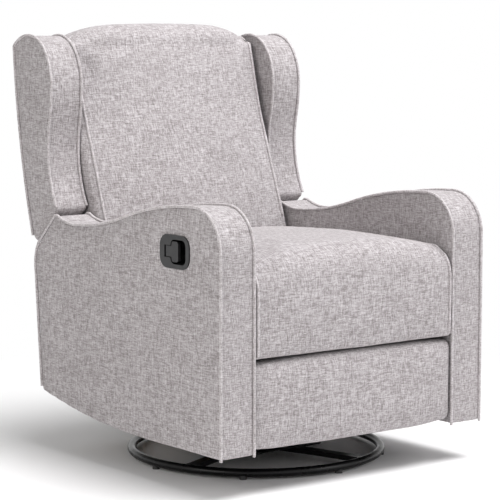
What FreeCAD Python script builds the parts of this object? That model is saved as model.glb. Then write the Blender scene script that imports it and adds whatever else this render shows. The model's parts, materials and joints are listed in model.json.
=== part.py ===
import FreeCAD, Part
import os
from math import cos, hypot, pi, radians, sin, sqrt, tan

# Swivel glider recliner, in millimetres.
# Origin: the swivel axis at floor level. +Z up, the sitter faces -Y.
# Left and right are the sitter's own: the sitter's right hand is on the -X side.

V = FreeCAD.Vector
os.makedirs("parts", exist_ok=True)

# Clearances
SOFT_GAP = 0.3          # between a soft pad and whatever it lies beside
LANE_GAP = 0.5          # between two link plates that turn side by side
PIN_PLAY = 0.06         # radial play of a pin in a turning link
SLOT_PLAY = 0.5         # radial play of a pin that slides in a slot
BALL_PLAY = 0.3         # running gap of the swivel bearing

# Floor ring and crossbars
RING_RADIUS = 303.0
RING_TUBE = 20.0
GLIDE_HEIGHT = 5.0      # floor to the underside of the ring
GLIDE_DIAMETER = 18.0
GLIDE_COUNT = 8
GLIDE_START = 2.0       # degrees, direction of the first glide
BAR_WIDTH = 26.0
BAR_HEIGHT = 12.0
BAR_WALL = 1.5
BAR_RISE = 4.0          # the bars climb this much from the ring to the hub
BAR_FLAT = 150.0        # half length of the level middle stretch
BAR_DIRECTION = 20.7    # degrees, direction of the unbroken bar

# Swivel bearing
BEARING_SIDE = 234.0
BEARING_CORNER = 15.0
BEARING_PLATE = 3.0
BALL_DIAMETER = 6.0
BALL_CIRCLE = 120.0
BALL_COUNT = 20
GROOVE_DEPTH = 1.0
BOLT_DIAMETER = 12.0
BOLT_HEAD = 20.0
BOLT_HEAD_HEIGHT = 7.0
NUT_HEIGHT = 8.0

# Glider: brackets on the swivel frame, hanging links, rails under the chair
CROSS_TUBE = 25.0
CROSS_WALL = 2.0
CROSS_OFFSET = 60.0     # the two cross tubes lie this far before and behind the axis
BRACKET_INNER = 205.0   # inner face of the glider bracket
STEEL = 4.0             # plate thickness of brackets, links and rails
PLATE_SPACE = 3.0       # spacer between fixed plates and their links
GLIDE_PIVOT_Y = 92.0
GLIDE_LINK_LENGTH = 100.0
GLIDE_LINK_WIDTH = 24.0
TOP_PIVOT_Z = 212.0
PIN_DIAMETER = 10.0
PIN_HEAD = 16.0
PIN_HEAD_THICK = 2.0
BRACKET_MARGIN = 16.0   # steel beyond the glider pivots
LIGHTENING_HOLE = 56.0
RAIL_HEIGHT = 30.0
RAIL_BELOW_PIVOT = 14.0

# Footrest linkage: a crossing pair of links each side, then a second pair
LINK_HALF = 110.0       # half length of the crossing links
LINK_WIDTH = 22.0
LINK_PIN = 8.0
LINK_HEAD = 13.0
ANCHOR_Y = -208.0
ANCHOR_Z = 121.0
MAIN_START = 74.4       # degrees above the forward level, footrest stowed
MAIN_END = 44.7
CROSS_START = -87.3
CROSS_END = 15.9
TIP_LENGTH = 70.7       # from the last crossing to the footrest pivot
TIP_BEND = 11.3         # the panel links bend by this angle at that crossing
SLOT_STEP_COUNT = 12

# Chair frame
STRETCHER_Y = 165.0     # inner face of the front and rear stretchers
STRETCHER_DEPTH = 25.0
STRETCHER_HEIGHT = 38.0
PLATE_BOTTOM = 105.0
PLATE_FRONT = -222.0
PLATE_SLOT_FRONT = -250.0
PLATE_REAR = 205.0
PLATE_TOP_REAR = 252.0
PLATE_HOLE = 90.0
FLANGE_Z = 363.0        # top of the side plates, where the seat frame sits
FLANGE_THICK = 3.0
SEAT_RAIL_HEIGHT = 32.0
SEAT_RAIL_THICK = 14.0
SEAT_RAIL_INNER = 256.0
SEAT_FRONT_Y = -363.5   # front face of the seat frame
SEAT_END_DEPTH = 23.0   # thickness of the front and rear seat rails
SEAT_REAR_Y = 213.0
SPRING_WIRE = 3.5
SPRING_WIDTH = 52.0
SPRING_PITCH = 36.0
SPRING_LOOP_COUNT = 14
SPRING_COUNT = 5
SPRING_SPACING = 100.0

# Arms
ARM_INNER = 295.0
ARM_OUTER = 385.0
ARM_FRONT = -377.0
ARM_BOTTOM = 93.0
ARM_FLAT_END = -100.0   # behind this the lower edge curves up
ARM_REAR_FOOT_Y = 350.0
ARM_REAR_FOOT_Z = 141.0
ARM_REAR_Y = 384.0
ARM_CHAMFER_Z = 440.0   # the rear edge turns into the slope above this
ARM_SLOPE_LOW = (368.0, 508.0)
ARM_SLOPE_HIGH = (292.0, 578.0)
ARM_DIP_Y = 212.0
ARM_DIP_Z = 562.0
ARM_TURN_Z = 594.0      # the top edge changes from hollow to crowned here
ARM_TURN_Y = 0.0
ARM_TOP_Z = 638.0
ARM_ROLL = 94.0         # radius of the rounded front of the arm
ARM_HEEL_MID = (8.0, 4.0)   # from the rear foot round the heel
ARM_HEEL = (11.0, 12.0)     # to the start of the rear edge
ARM_REAR_SAG = (-1.5, 3.0)  # the rear edge above the chamfer bends by this much
ARM_PEAK_RUN = (-10.0, 0.0)     # flat peak in front of the slope's top
ARM_SKIN = 12.0         # padding and cover over the frame
ARM_INSIDE_SKIN = 8.0
ARM_BOARD = 18.0
ARM_POST = 45.0
ARM_POST_FRONT_Y = -340.0
ARM_POST_REAR_Y = 270.0
ARM_POST_BOTTOM = 120.0
ARM_POST_FRONT_TOP = 590.0
ARM_POST_REAR_TOP = 520.0

# Release handle, in the outer face of the right arm
BEZEL_Y = -209.0
BEZEL_Z = 535.5
BEZEL_LENGTH = 112.0
BEZEL_HEIGHT = 75.0
BEZEL_CORNER = 27.0
BEZEL_PROUD = 3.5
CUP_DEPTH = 25.0
CUP_WALL = 2.5
CUP_RIM = 10.0
RECESS_LENGTH = 58.0
RECESS_HEIGHT = 55.0
RECESS_CORNER = 14.0
CHANNEL_LENGTH = 25.0
LEVER_PLAY = 1.5
LEVER_THICK = 7.0
LEVER_SINK = 1.5        # the lever lies this far below the bezel's rim
GRIP_WIDTH = 26.0
GRIP_HEIGHT = 46.0
STEM_HEIGHT = 24.0
TRUNNION = 4.0
TRUNNION_LENGTH = 4.0

# Seat cushion
SEAT_HALF = 291.0
SEAT_FACE_Y = -380.0
SEAT_FACE_BULGE = 6.0
SEAT_LIP_Z = 304.5      # lower edge of the front face
SEAT_FRONT_ROLL = 62.0
SEAT_SIDE_Z = 512.0     # top of the cushion at its sides
SEAT_CROWN = 30.0
SEAT_BACK_Y = 189.0
SEAT_BACK_ROLL = 30.0
SECTION_COUNT = 7

# Footrest
REST_HALF = 290.0
REST_BOTTOM = 97.0
REST_TOP = 300.0
REST_FACE_Y = -374.0
REST_BULGE = 5.0
REST_BOARD_BACK = -326.0
REST_BOARD = 12.0
REST_BOARD_INSET = 10.0
REST_CORNER = 18.0
REST_BRACKET_DEPTH = 36.0
REST_BRACKET_LOW = 190.0

# Backrest
BACK_PIVOT_Y = 235.0
BACK_PIVOT_Z = 379.0
BACK_LEAN = 11.0        # degrees, lean of the rear face
BACK_REAR_Y = 395.0     # rear face at the height below
BACK_REAR_Z = 520.0
BACK_SHELL = 14.0
BACK_LOW = 317.0
STILE_DEPTH = 40.0
STILE_THICK = 20.0
STILE_LOW = 395.0
RAIL_TALL = 60.0
BRACKET_FOOT = 70.0     # height of the hinge bracket's foot on the stile
HINGE_ARM_WIDTH = 36.0
WEB_WIDTH = 50.0
WEB_THICK = 2.0
WEB_COUNT = 5
CUSHION_HALF = 287.0
CUSHION_LOW = 470.0
CUSHION_TOP = 1018.0
CUSHION_OVER_FRAME = 33.0   # its top edge stands this much above the wooden frame
CUSHION_OVER_SHELL = 14.0   # and this much above the outside back
CUSHION_EDGE_LOW_Y = 215.0
CUSHION_EDGE_MID_Y = 338.0
CUSHION_EDGE_MID_Z = 817.0
CUSHION_EDGE_TOP_Y = 393.0
CUSHION_CROWN = 36.0
CUSHION_DOME = 20.0     # the middle of the top edge stands this much higher
CUSHION_BORDER = 20.0   # the front edge seam lies this far inside the widest line

# Lower rear panel
PANEL_GAP = 5.0         # below the reclining back
PANEL_CLEAR = 3.0       # behind the path of the reclining back
PANEL_STEP = 10.0       # behind the arm's rear foot

# Wings
WING_OUTER = 380.0
WING_GAP = 12.0         # between the wing and the slope of the arm
WING_START = 5.0        # lower edge: from here along the slope
WING_OVERHANG = 10.0    # and this far past the slope's low end
WING_NOSE = (-8.0, 14.0)    # from the lower edge's front end to the front edge
WING_HEEL = (20.0, 12.0)    # from its rear end to the rear edge
WING_TURN = (322.0, 808.0)
WING_BELLY = (330.5, 715.0)
WING_HOLLOW = (315.5, 853.0)
WING_BROW = (314.0, 900.0)
WING_BROW_EASE = (-6.0, 8.0)    # the brow swells out this far from a straight line
WING_CREST_FRONT = (352.0, 985.0)
WING_CREST = (422.0, 1009.0)
WING_CREST_REAR = (484.0, 983.0)
WING_REAR_MID = (455.5, 746.0)

# Heights that follow from the stack of parts on the floor
RING_Z = GLIDE_HEIGHT + RING_TUBE / 2
BAR_TOP = RING_Z + BAR_RISE + BAR_HEIGHT / 2
BALL_Z = BAR_TOP + BEARING_PLATE - GROOVE_DEPTH + BALL_DIAMETER / 2
UPPER_PLATE_Z = BALL_Z + BALL_DIAMETER / 2 + BALL_PLAY
FRAME_Z = UPPER_PLATE_Z + BEARING_PLATE
LOW_PIVOT_Z = TOP_PIVOT_Z - GLIDE_LINK_LENGTH
RAIL_Z = LOW_PIVOT_Z - RAIL_BELOW_PIVOT
SEAT_FRAME_TOP = FLANGE_Z + SEAT_RAIL_HEIGHT

# Plates side by side, from the middle of the chair outwards
GLIDE_LANE = BRACKET_INNER + STEEL + PLATE_SPACE
RAIL_LANE = GLIDE_LANE + STEEL + PLATE_SPACE
PLATE_LANE = RAIL_LANE + STEEL + PLATE_SPACE
MAIN_LANE = PLATE_LANE + STEEL + LANE_GAP
CROSS_LANE = MAIN_LANE + STEEL + LANE_GAP
STILE_OUTER = ARM_INNER - 0.4
STILE_INNER = STILE_OUTER - STILE_THICK
STILE_HIGH = CUSHION_TOP - CUSHION_OVER_FRAME
BACK_HIGH = CUSHION_TOP - CUSHION_OVER_SHELL
WEB_SPACE = (STILE_HIGH - STILE_LOW - 2 * RAIL_TALL - WEB_COUNT * WEB_WIDTH) / (WEB_COUNT + 1)
HINGE_LANE = STILE_INNER - STEEL
ARM_BOARD_X = ARM_INNER + ARM_INSIDE_SKIN


def box(x0, x1, y0, y1, z0, z1):
    return Part.makeBox(x1 - x0, y1 - y0, z1 - z0, V(x0, y0, z0))


def rod_x(y, z, radius, x0, x1):
    return Part.makeCylinder(radius, x1 - x0, V(x0, y, z), V(1, 0, 0))


def rod_z(x, y, radius, z0, z1):
    return Part.makeCylinder(radius, z1 - z0, V(x, y, z0), V(0, 0, 1))


def mirrored(shape):
    return shape.mirror(V(0, 0, 0), V(1, 0, 0))


def both_sides(shape):
    return Part.makeCompound([shape, mirrored(shape)])


def midpoint(p, q):
    return ((p[0] + q[0]) / 2, (p[1] + q[1]) / 2)


def side_points(pairs, x=0.0):
    return [V(x, y, z) for y, z in pairs]


def plate(pairs, x0, x1):
    """A flat plate: an outline of (y, z) corners, from x0 to x1."""
    corners = side_points(pairs, x0)
    wire = Part.makePolygon(corners + corners[:1])
    return Part.Face(wire).extrude(V(x1 - x0, 0, 0))


def rounded_plate(y, z, length, height, corner, x0, x1):
    """A rectangle centred on (y, z) with round corners, from x0 to x1."""
    block = box(x0, x1, y - length / 2, y + length / 2, z - height / 2, z + height / 2)
    edges = [e for e in block.Edges if e.BoundBox.XLength > (x1 - x0) * 0.9]
    return block.makeFillet(corner, edges)


def bar(p, q, width, x0, x1):
    """A flat link with round ends on the pivots p and q, both (y, z)."""
    dy, dz = q[0] - p[0], q[1] - p[1]
    length = hypot(dy, dz)
    sy, sz = -dz / length * width / 2, dy / length * width / 2
    body = plate([(p[0] + sy, p[1] + sz), (q[0] + sy, q[1] + sz),
                  (q[0] - sy, q[1] - sz), (p[0] - sy, p[1] - sz)], x0, x1)
    ends = [rod_x(c[0], c[1], width / 2, x0, x1) for c in (p, q)]
    return body.multiFuse(ends).removeSplitter()


def drilled(shape, centres, radius, x0, x1):
    return shape.cut(Part.makeCompound([rod_x(c[0], c[1], radius, x0 - 1, x1 + 1) for c in centres]))


def headed_pin(y, z, diameter, head, x0, x1, outer_head=True, inner_head=True):
    """A pin along X with a flat head outside each of its ends."""
    pin = rod_x(y, z, diameter / 2, x0, x1)
    heads = []
    if inner_head:
        heads.append(rod_x(y, z, head / 2, x0 - PIN_HEAD_THICK, x0))
    if outer_head:
        heads.append(rod_x(y, z, head / 2, x1, x1 + PIN_HEAD_THICK))
    return pin.multiFuse(heads).removeSplitter()


def line(p, q):
    return Part.LineSegment(p, q).toShape()


def arc(p, through, q):
    return Part.Arc(p, through, q).toShape()


def largest(shape, count):
    """The biggest solids of a cut shape, without the slivers left beside a round tube."""
    solids = sorted(shape.Solids, key=lambda solid: solid.Volume, reverse=True)
    return Part.makeCompound(solids[:count])


def save(name, shape):
    shape.exportStep("parts/" + name + ".step")


# Base


def ring_shape():
    return Part.makeTorus(RING_RADIUS, RING_TUBE / 2, V(0, 0, RING_Z), V(0, 0, 1))


def base_ring():
    save("base_ring", ring_shape())


def floor_glides():
    glides = []
    for i in range(GLIDE_COUNT):
        angle = radians(GLIDE_START + i * 360.0 / GLIDE_COUNT)
        foot = rod_z(RING_RADIUS * cos(angle), RING_RADIUS * sin(angle), GLIDE_DIAMETER / 2,
                     0, GLIDE_HEIGHT + RING_TUBE * 0.2)
        glides.append(foot.cut(ring_shape()))
    save("floor_glides", Part.makeCompound(glides))


def crossbar_profile(inset, reach):
    """The bar's closed outline seen from its side, rising from the ring to the hub."""
    half = BAR_HEIGHT / 2 - inset
    low, high = RING_Z, RING_Z + BAR_RISE
    tops = [(-reach, low + half), (-BAR_FLAT, high + half), (BAR_FLAT, high + half), (reach, low + half)]
    lows = [(reach, low - half), (BAR_FLAT, high - half), (-BAR_FLAT, high - half), (-reach, low - half)]
    return tops + lows


def crossbar_shape():
    outer = plate(crossbar_profile(0, RING_RADIUS), -BAR_WIDTH / 2, BAR_WIDTH / 2)
    wide = BAR_WIDTH / 2 - BAR_WALL
    hollow = plate(crossbar_profile(BAR_WALL, RING_RADIUS + 1), -wide, wide)
    tube = outer.cut(hollow)
    bolt_hole = rod_z(0, 0, BOLT_DIAMETER / 2, BAR_TOP - 2 * BAR_WALL, BAR_TOP + 1)
    return tube.cut(bolt_hole)


def crossbars():
    ring = ring_shape()
    turned = crossbar_shape()
    turned.rotate(V(0, 0, 0), V(0, 0, 1), BAR_DIRECTION - 90)
    save("base_crossbar_long", largest(turned.cut(ring), 1))
    middle = box(-BAR_WIDTH, BAR_WIDTH, -BAR_WIDTH / 2, BAR_WIDTH / 2, 0, BAR_TOP + 1)
    crossing = crossbar_shape().cut(middle)
    crossing.rotate(V(0, 0, 0), V(0, 0, 1), BAR_DIRECTION)
    save("base_crossbar_halves", largest(crossing.cut(ring), 2))


def bearing_plate(z):
    half = BEARING_SIDE / 2
    block = Part.makeBox(BEARING_SIDE, BEARING_SIDE, BEARING_PLATE, V(-half, -half, z))
    uprights = [e for e in block.Edges if e.BoundBox.ZLength > BEARING_PLATE * 0.9]
    return block.makeFillet(BEARING_CORNER, uprights)


def swivel_bearing():
    groove = Part.makeTorus(BALL_CIRCLE / 2, BALL_DIAMETER / 2, V(0, 0, BALL_Z), V(0, 0, 1))
    lower = bearing_plate(BAR_TOP).cut(groove)
    lower = lower.cut(rod_z(0, 0, BOLT_DIAMETER / 2, BAR_TOP - 1, BAR_TOP + BEARING_PLATE + 1))
    save("bearing_lower_plate", lower)
    balls = []
    for i in range(BALL_COUNT):
        angle = 2 * pi * i / BALL_COUNT
        centre = V(BALL_CIRCLE / 2 * cos(angle), BALL_CIRCLE / 2 * sin(angle), BALL_Z)
        balls.append(Part.makeSphere(BALL_DIAMETER / 2, centre))
    save("bearing_balls", Part.makeCompound(balls))
    upper = bearing_plate(UPPER_PLATE_Z)
    hole = BOLT_DIAMETER / 2 + PIN_PLAY
    save("bearing_upper_plate", upper.cut(rod_z(0, 0, hole, UPPER_PLATE_Z - 1, FRAME_Z + 1)))


def swivel_bolt():
    inside_top = BAR_TOP - BAR_WALL
    head = rod_z(0, 0, BOLT_HEAD / 2, inside_top - BOLT_HEAD_HEIGHT, inside_top)
    nut_z = FRAME_Z + BALL_PLAY
    shank = rod_z(0, 0, BOLT_DIAMETER / 2, inside_top, nut_z + NUT_HEIGHT)
    corners = [V(BOLT_HEAD / 2 * cos(pi / 3 * i), BOLT_HEAD / 2 * sin(pi / 3 * i), nut_z) for i in range(7)]
    nut = Part.Face(Part.makePolygon(corners)).extrude(V(0, 0, NUT_HEIGHT))
    save("swivel_bolt", head.multiFuse([shank, nut]).removeSplitter())


# Swivel frame and glider


def glider_cross_tubes():
    tubes = []
    for side in (-1, 1):
        y = side * CROSS_OFFSET
        half = CROSS_TUBE / 2
        inner = half - CROSS_WALL
        z = FRAME_Z + half
        tube = box(-BRACKET_INNER, BRACKET_INNER, y - half, y + half, FRAME_Z, FRAME_Z + CROSS_TUBE)
        hollow = box(-BRACKET_INNER - 1, BRACKET_INNER + 1, y - inner, y + inner, z - inner, z + inner)
        tubes.append(tube.cut(hollow))
    save("glider_cross_tubes", Part.makeCompound(tubes))


def pivot_pair(z):
    """The front and rear glider pivots at one height."""
    return [(-GLIDE_PIVOT_Y, z), (GLIDE_PIVOT_Y, z)]


def glider_brackets():
    reach = GLIDE_PIVOT_Y + BRACKET_MARGIN
    top = TOP_PIVOT_Z + BRACKET_MARGIN
    x0, x1 = BRACKET_INNER, BRACKET_INNER + STEEL
    shape = plate([(-reach, FRAME_Z), (reach, FRAME_Z), (reach, top), (-reach, top)], x0, x1)
    shape = drilled(shape, pivot_pair(TOP_PIVOT_Z), PIN_DIAMETER / 2, x0, x1)
    middle = (FRAME_Z + CROSS_TUBE + top) / 2
    holes = [(y, middle) for y in (-LIGHTENING_HOLE * 1.25, 0, LIGHTENING_HOLE * 1.25)]
    shape = drilled(shape, holes, LIGHTENING_HOLE / 2, x0, x1)
    save("glider_bracket_left", shape)
    save("glider_bracket_right", mirrored(shape))


def glide_pins():
    """Upper pins are riveted in the brackets, lower pins in the rails under the chair."""
    top = []
    low = []
    link_outer = GLIDE_LANE + STEEL
    for y, z in pivot_pair(TOP_PIVOT_Z):
        pin = headed_pin(y, z, PIN_DIAMETER, PIN_HEAD, BRACKET_INNER, link_outer + LANE_GAP)
        spacer = rod_x(y, z, PIN_HEAD / 2, BRACKET_INNER + STEEL, GLIDE_LANE - LANE_GAP)
        top.append(pin.fuse(spacer).removeSplitter())
    for y, z in pivot_pair(LOW_PIVOT_Z):
        pin = headed_pin(y, z, PIN_DIAMETER, PIN_HEAD, GLIDE_LANE - LANE_GAP, RAIL_LANE + STEEL)
        spacer = rod_x(y, z, PIN_HEAD / 2, link_outer + LANE_GAP, RAIL_LANE)
        low.append(pin.fuse(spacer).removeSplitter())
    save("glider_top_pins", both_sides(Part.makeCompound(top)))
    save("glider_lower_pins", both_sides(Part.makeCompound(low)))


def glide_links():
    for name, y in (("front", -GLIDE_PIVOT_Y), ("rear", GLIDE_PIVOT_Y)):
        ends = [(y, TOP_PIVOT_Z), (y, LOW_PIVOT_Z)]
        link = bar(ends[0], ends[1], GLIDE_LINK_WIDTH, GLIDE_LANE, GLIDE_LANE + STEEL)
        link = drilled(link, ends, PIN_DIAMETER / 2 + PIN_PLAY, GLIDE_LANE, GLIDE_LANE + STEEL)
        save(name + "_glide_links", both_sides(link))


def mechanism_rails():
    x0, x1 = RAIL_LANE, RAIL_LANE + STEEL
    rail = box(x0, x1, -STRETCHER_Y, STRETCHER_Y, RAIL_Z, RAIL_Z + RAIL_HEIGHT)
    rail = drilled(rail, pivot_pair(LOW_PIVOT_Z), PIN_DIAMETER / 2, x0, x1)
    rail = drilled(rail, bolt_places(), LINK_PIN / 2, x0, x1)
    save("mechanism_rail_left", rail)
    save("mechanism_rail_right", mirrored(rail))


def bolt_places():
    y = STRETCHER_Y - RAIL_HEIGHT
    return [(-y, LOW_PIVOT_Z), (y, LOW_PIVOT_Z)]


# Footrest linkage


def direction(angle):
    """Unit step in (y, z) for an angle above the level that points forward."""
    return (-cos(radians(angle)), sin(radians(angle)))


def stepped(point, angle, length):
    d = direction(angle)
    return (point[0] + length * d[0], point[1] + length * d[1])


def linkage_points(t):
    """Pivots of the footrest linkage, stowed at t = 0 and out at t = 1."""
    main = MAIN_START + (MAIN_END - MAIN_START) * t
    cross = CROSS_START + (CROSS_END - CROSS_START) * t
    anchor = (ANCHOR_Y, ANCHOR_Z)
    crossing = stepped(anchor, main, LINK_HALF)
    points = {"anchor": anchor, "crossing": crossing}
    points["main_end"] = stepped(anchor, main, 2 * LINK_HALF)
    points["cross_end"] = stepped(crossing, cross, LINK_HALF)
    points["slider"] = stepped(crossing, cross, -LINK_HALF)
    points["second"] = stepped(points["main_end"], cross, LINK_HALF)
    points["tip"] = stepped(points["second"], main - TIP_BEND, TIP_LENGTH)
    return points


def linkage_slot(x0, x1):
    """The curved slot that the sliding pins follow, as a chain of short straight slots."""
    width = LINK_PIN + 2 * SLOT_PLAY
    path = [linkage_points(i / SLOT_STEP_COUNT)["slider"] for i in range(SLOT_STEP_COUNT + 1)]
    runs = [bar(path[i], path[i + 1], width, x0, x1) for i in range(SLOT_STEP_COUNT)]
    return runs[0].multiFuse(runs[1:])


def stretcher(side, x_end):
    y0 = STRETCHER_Y if side > 0 else -STRETCHER_Y - STRETCHER_DEPTH
    return box(-x_end, x_end, y0, y0 + STRETCHER_DEPTH, RAIL_Z, RAIL_Z + STRETCHER_HEIGHT)


def linkage_plates():
    x0, x1 = PLATE_LANE, PLATE_LANE + STEEL
    shoulder = FLANGE_Z - RAIL_HEIGHT * 1.5
    outline = [(PLATE_FRONT, PLATE_BOTTOM), (PLATE_REAR, PLATE_BOTTOM), (PLATE_REAR, shoulder),
               (PLATE_TOP_REAR, shoulder), (PLATE_TOP_REAR, FLANGE_Z), (PLATE_SLOT_FRONT, FLANGE_Z),
               (PLATE_SLOT_FRONT, shoulder), (PLATE_FRONT, (PLATE_BOTTOM + shoulder) / 2)]
    shape = plate(outline, x0, x1)
    flange = box(x0, SEAT_RAIL_INNER + SEAT_RAIL_THICK, PLATE_SLOT_FRONT, PLATE_TOP_REAR,
                 FLANGE_Z - FLANGE_THICK, FLANGE_Z)
    shape = shape.fuse(flange).removeSplitter()
    for side in (-1, 1):
        shape = shape.cut(stretcher(side, ARM_BOARD_X))
    shape = shape.cut(linkage_slot(x0 - 1, x1 + 1))
    pins = bolt_places() + [(ANCHOR_Y, ANCHOR_Z)]
    shape = drilled(shape, pins, LINK_PIN / 2, x0, x1)
    middle = (PLATE_BOTTOM + FLANGE_Z) / 2
    holes = [(i * PLATE_HOLE * 1.2, middle) for i in (-1, 0, 1)]
    shape = drilled(shape, holes, PLATE_HOLE / 2, x0, x1)
    save("linkage_plate_left", shape)
    save("linkage_plate_right", mirrored(shape))


def linkage_bolts():
    """Bolts that hold the side plates to the rails, and the fixed pins of the main links."""
    pins = []
    for place in bolt_places():
        bolt = headed_pin(place[0], place[1], LINK_PIN, LINK_HEAD, RAIL_LANE, PLATE_LANE + STEEL)
        spacer = rod_x(place[0], place[1], LINK_HEAD / 2, RAIL_LANE + STEEL, PLATE_LANE)
        pins.append(bolt.fuse(spacer).removeSplitter())
    outer = MAIN_LANE + STEEL + LANE_GAP / 2
    pins.append(headed_pin(ANCHOR_Y, ANCHOR_Z, LINK_PIN, LINK_HEAD, PLATE_LANE, outer))
    save("linkage_bolts", both_sides(Part.makeCompound(pins)))


def footrest_links():
    p = linkage_points(0)
    hole = LINK_PIN / 2 + PIN_PLAY
    fixed = LINK_PIN / 2
    loose = LINK_PIN / 2 + SLOT_PLAY
    a0, a1 = MAIN_LANE, MAIN_LANE + STEEL
    b0, b1 = CROSS_LANE, CROSS_LANE + STEEL
    main = bar(p["anchor"], p["main_end"], LINK_WIDTH, a0, a1)
    main = drilled(main, [p["anchor"]], hole, a0, a1)
    main = drilled(main, [p["crossing"], p["main_end"]], fixed, a0, a1)
    save("footrest_main_links", both_sides(main))
    cross = bar(p["slider"], p["cross_end"], LINK_WIDTH, b0, b1)
    cross = drilled(cross, [p["crossing"]], hole, b0, b1)
    cross = drilled(cross, [p["slider"], p["cross_end"]], fixed, b0, b1)
    save("footrest_cross_links", both_sides(cross))
    panel = bar(p["cross_end"], p["second"], LINK_WIDTH, a0, a1)
    panel = panel.fuse(bar(p["second"], p["tip"], LINK_WIDTH, a0, a1)).removeSplitter()
    panel = drilled(panel, [p["cross_end"]], hole, a0, a1)
    panel = drilled(panel, [p["second"], p["tip"]], fixed, a0, a1)
    save("footrest_panel_links", both_sides(panel))
    tie = bar(p["main_end"], p["second"], LINK_WIDTH, b0, b1)
    tie = drilled(tie, [p["second"]], hole, b0, b1)
    tie = drilled(tie, [p["main_end"]], loose, b0, b1)
    save("footrest_tie_links", both_sides(tie))


def footrest_rivets():
    """Each rivet is fixed in one link and turns, or slides, in the next one."""
    p = linkage_points(0)
    outer = CROSS_LANE + STEEL + LANE_GAP / 2
    save("main_link_rivets", both_sides(Part.makeCompound([
        headed_pin(*p["crossing"], LINK_PIN, LINK_HEAD, MAIN_LANE, outer, inner_head=False),
        headed_pin(*p["main_end"], LINK_PIN, LINK_HEAD, MAIN_LANE, outer, inner_head=False)])))
    save("cross_link_rivets", both_sides(Part.makeCompound([
        headed_pin(*p["cross_end"], LINK_PIN, LINK_HEAD, MAIN_LANE - LANE_GAP / 2, CROSS_LANE + STEEL),
        headed_pin(*p["slider"], LINK_PIN, LINK_HEAD, PLATE_LANE - LANE_GAP, CROSS_LANE + STEEL)])))
    save("panel_link_rivets", both_sides(Part.makeCompound([
        headed_pin(*p["second"], LINK_PIN, LINK_HEAD, MAIN_LANE, outer, inner_head=False),
        headed_pin(*p["tip"], LINK_PIN, LINK_HEAD, PLATE_LANE - LANE_GAP / 2, MAIN_LANE + STEEL)])))


# Footrest


def rest_section(x, crown):
    """One upright slice of the footrest pad: flat behind, rounded and crowned in front."""
    front = REST_FACE_Y - REST_BULGE * crown
    rear = REST_BOARD_BACK - REST_BOARD - SOFT_GAP
    low = REST_BOTTOM + REST_CORNER * 0.3 * (1 - crown)
    high = REST_TOP - REST_CORNER * 0.3 * (1 - crown)
    roll = REST_CORNER
    ease = roll * (1 - sqrt(0.5))
    middle = (low + high) / 2
    swell = REST_BULGE * crown
    edges = [
        line(V(x, rear, low), V(x, rear, high)),
        line(V(x, rear, high), V(x, front + roll, high)),
        arc(V(x, front + roll, high), V(x, front + ease, high - ease), V(x, front, high - roll)),
        arc(V(x, front, high - roll), V(x, front - swell - 0.5, middle), V(x, front, low + roll)),
        arc(V(x, front, low + roll), V(x, front + ease, low + ease), V(x, front + roll, low)),
        line(V(x, front + roll, low), V(x, rear, low))]
    return Part.Wire(edges)


def crown_at(share):
    """Fullness across a cushion, 0 at its sides and 1 in the middle."""
    return 1 - share ** 4


def spread(count):
    """Evenly spaced places from -1 to 1."""
    return [2.0 * i / (count - 1) - 1 for i in range(count)]


def loft(wires):
    return Part.makeLoft(wires, True, False)


def footrest():
    wires = [rest_section(REST_HALF * s, crown_at(s)) for s in spread(SECTION_COUNT)]
    save("footrest_pad", loft(wires))
    inset = REST_BOARD_INSET
    y0, y1 = REST_BOARD_BACK - REST_BOARD, REST_BOARD_BACK
    half = REST_HALF - inset
    save("footrest_board", box(-half, half, y0, y1, REST_BOTTOM + inset, REST_TOP - inset))
    tip = linkage_points(0)["tip"]
    x0, x1 = PLATE_LANE, PLATE_LANE + STEEL
    high = tip[1] + LINK_WIDTH / 2 - 2
    rear = tip[0] + LINK_WIDTH / 2
    outline = [(REST_BOARD_BACK, REST_BRACKET_LOW), (REST_BOARD_BACK, high), (rear, high),
               (rear, tip[1] - LINK_WIDTH)]
    web = plate(outline, x0, x1)
    foot = box(x0 - REST_BRACKET_DEPTH / 2, x0, REST_BOARD_BACK, REST_BOARD_BACK + FLANGE_THICK,
               REST_BRACKET_LOW, high)
    bracket = web.fuse(foot).removeSplitter()
    bracket = drilled(bracket, [tip], LINK_PIN / 2 + PIN_PLAY, x0, x1)
    save("footrest_brackets", both_sides(bracket))


# Arms


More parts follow.
